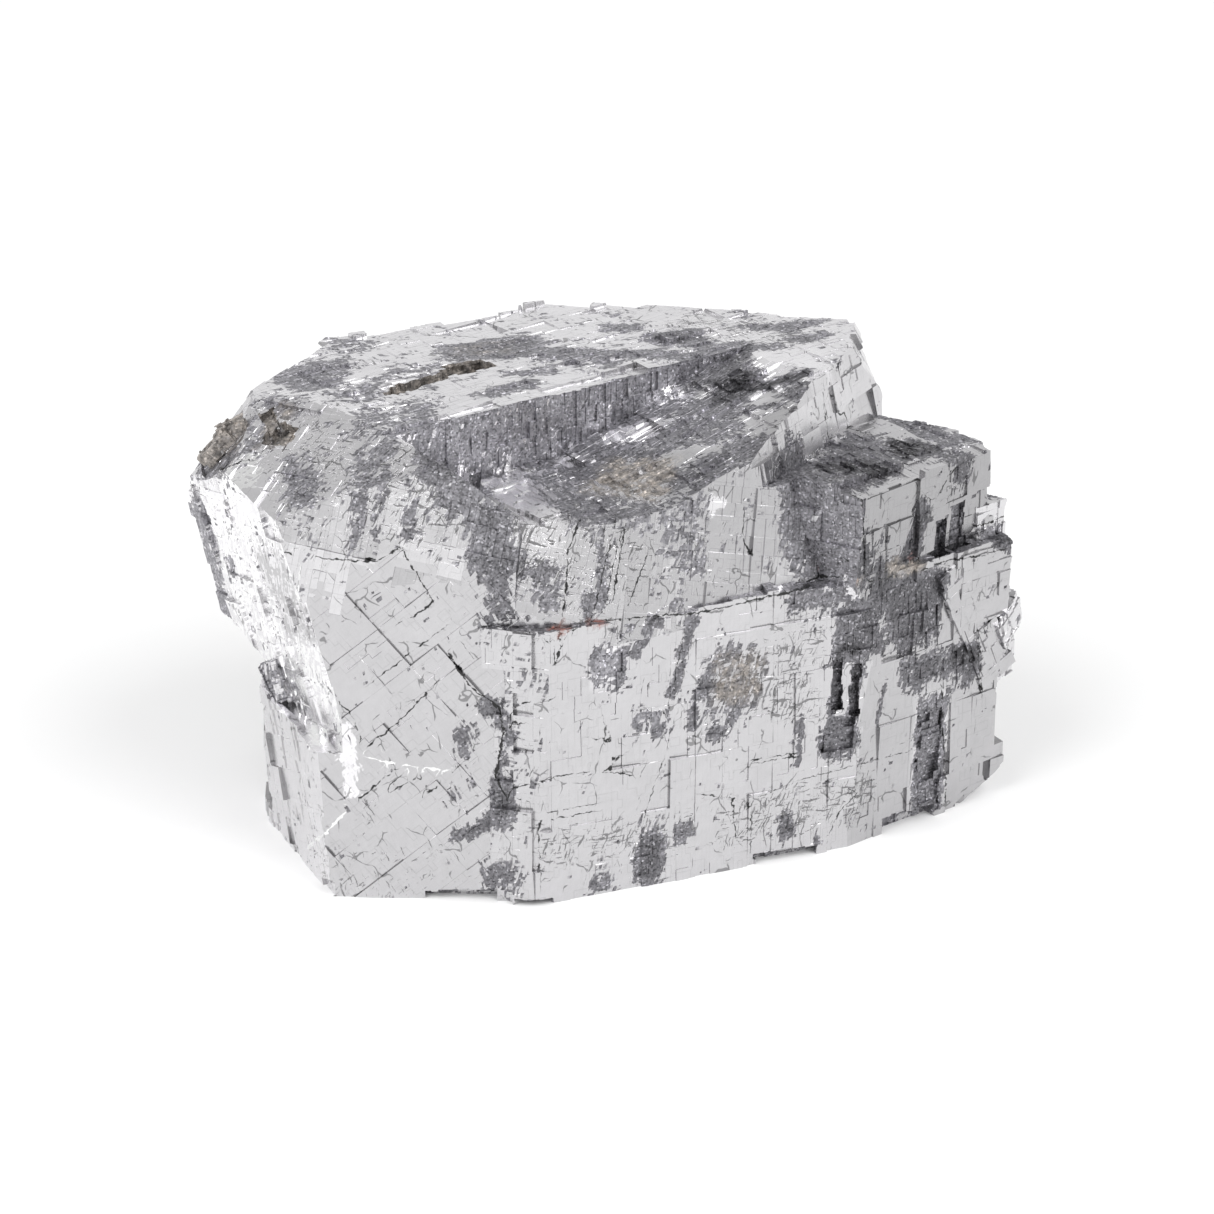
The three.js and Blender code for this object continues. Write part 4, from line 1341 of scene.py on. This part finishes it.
class GALENA_OT_block(bpy.types.Operator):
    """Makes the galena block and its finish"""

    bl_idname = "galena.block"
    bl_label = "Galena block"
    bl_options = {"REGISTER", "UNDO"}

    def execute(self, context):
        settings = context.scene.galena
        mesh = block_solid(settings.terrace / MM)
        keep_largest_shell(mesh)
        mesh.name = "galena"
        points = read_values(mesh.vertices, "co", width=3).reshape(-1, 3)
        lay_patches(mesh, points)
        draw_cracks(mesh, points)
        placed = (points - MIDDLE) * MM
        mesh.vertices.foreach_set("co", placed.astype(np.float32).ravel())
        mesh.polygons.foreach_set("use_smooth", np.zeros(len(mesh.polygons), bool))
        mesh.update()
        mesh.materials.clear()
        mesh.materials.append(cleaved_galena(settings))
        block = link_object("galena", mesh)
        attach(block, "root")
        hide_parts("galena_block")
        return {"FINISHED"}


class GALENA_OT_stage(bpy.types.Operator):
    """Makes the floor, the camera and the lights"""

    bl_idname = "galena.stage"
    bl_label = "Stage"
    bl_options = {"REGISTER", "UNDO"}

    def execute(self, context):
        scene, settings = context.scene, context.scene.galena_stage
        turn = np.linspace(0, 2 * np.pi, FLOOR_SIDES, endpoint=False)
        rings = np.array(FLOOR_RINGS)[:, None]
        points = np.stack([rings * np.cos(turn), rings * np.sin(turn), rings * 0 * turn], -1).reshape(-1, 3)
        here = np.arange(FLOOR_SIDES)
        there = (here + 1) % FLOOR_SIDES
        quads = []
        for inner in FLOOR_SIDES * np.arange(len(FLOOR_RINGS) - 1):
            outer = inner + FLOOR_SIDES
            quads.append(np.stack([inner + here, outer + here, outer + there, inner + there], -1))
        mesh = bpy.data.meshes.new("floor")
        mesh.from_pydata(points.tolist(), [], [here.tolist(), *np.concatenate(quads).tolist()])
        mesh.materials.append(floor_board(settings))
        floor = link_object("floor", mesh)

        camera = link_object("camera", bpy.data.cameras.new("camera"))
        camera.data.lens = settings.lens
        camera.data.sensor_width = SENSOR
        camera.data.clip_start = NEAR_CLIP
        away = np.array([0, -np.cos(settings.elevation), np.sin(settings.elevation)])
        camera.location = np.array(AIM) * MM - np.array(MIDDLE) * MM + away * settings.distance
        camera.rotation_euler = (np.pi / 2 - settings.elevation, 0, 0)
        scene.camera = camera

        for name, (x, y, z) in SOFTBOXES.items():
            light = link_object(name, bpy.data.lights.new(name, "AREA"))
            light.data.shape = "DISK"
            light.data.size = SOFTBOX_SIZE
            light.data.energy = SOFTBOX_POWER
            light.location = (x, y, z)
            light.rotation_euler = (np.arctan2(np.hypot(x, y), z), 0, np.arctan2(x, -y))

        scene.world = bpy.data.worlds.new("studio")
        add = emptied(scene.world)
        direction = add("TexCoord").outputs["Generated"]
        height = add("SeparateXYZ", [direction]).outputs["Z"]
        sky = add("MapRange", [height, *SKY_TURN, 1.0, SKY_TOP])
        background = add("Background", {"Strength": sky})
        add("OutputWorld", {"Surface": background})
        scene.view_settings.view_transform = "Standard"
        return {"FINISHED"}


class GALENA_PT_panel(bpy.types.Panel):
    """The galena specimen's settings and steps"""

    bl_idname = "GALENA_PT_panel"
    bl_label = "Galena"
    bl_space_type = "VIEW_3D"
    bl_region_type = "UI"
    bl_category = "Galena"

    def draw(self, context):
        scene = context.scene
        for settings, operator in ((scene.galena, "galena.block"), (scene.galena_stage, "galena.stage")):
            for name in type(settings).__annotations__:
                self.layout.prop(settings, name)
            self.layout.operator(operator)


CLASSES = (GalenaSettings, StageSettings, GALENA_OT_block, GALENA_OT_stage, GALENA_PT_panel)


def register():
    for one in CLASSES:
        bpy.utils.register_class(one)
    bpy.types.Scene.galena = PointerProperty(type=GalenaSettings)
    bpy.types.Scene.galena_stage = PointerProperty(type=StageSettings)


def unregister():
    del bpy.types.Scene.galena_stage
    del bpy.types.Scene.galena
    for one in reversed(CLASSES):
        bpy.utils.unregister_class(one)


def main():
    register()
    bpy.ops.galena.block()
    bpy.ops.galena.stage()


if __name__ == "__main__":
    main()
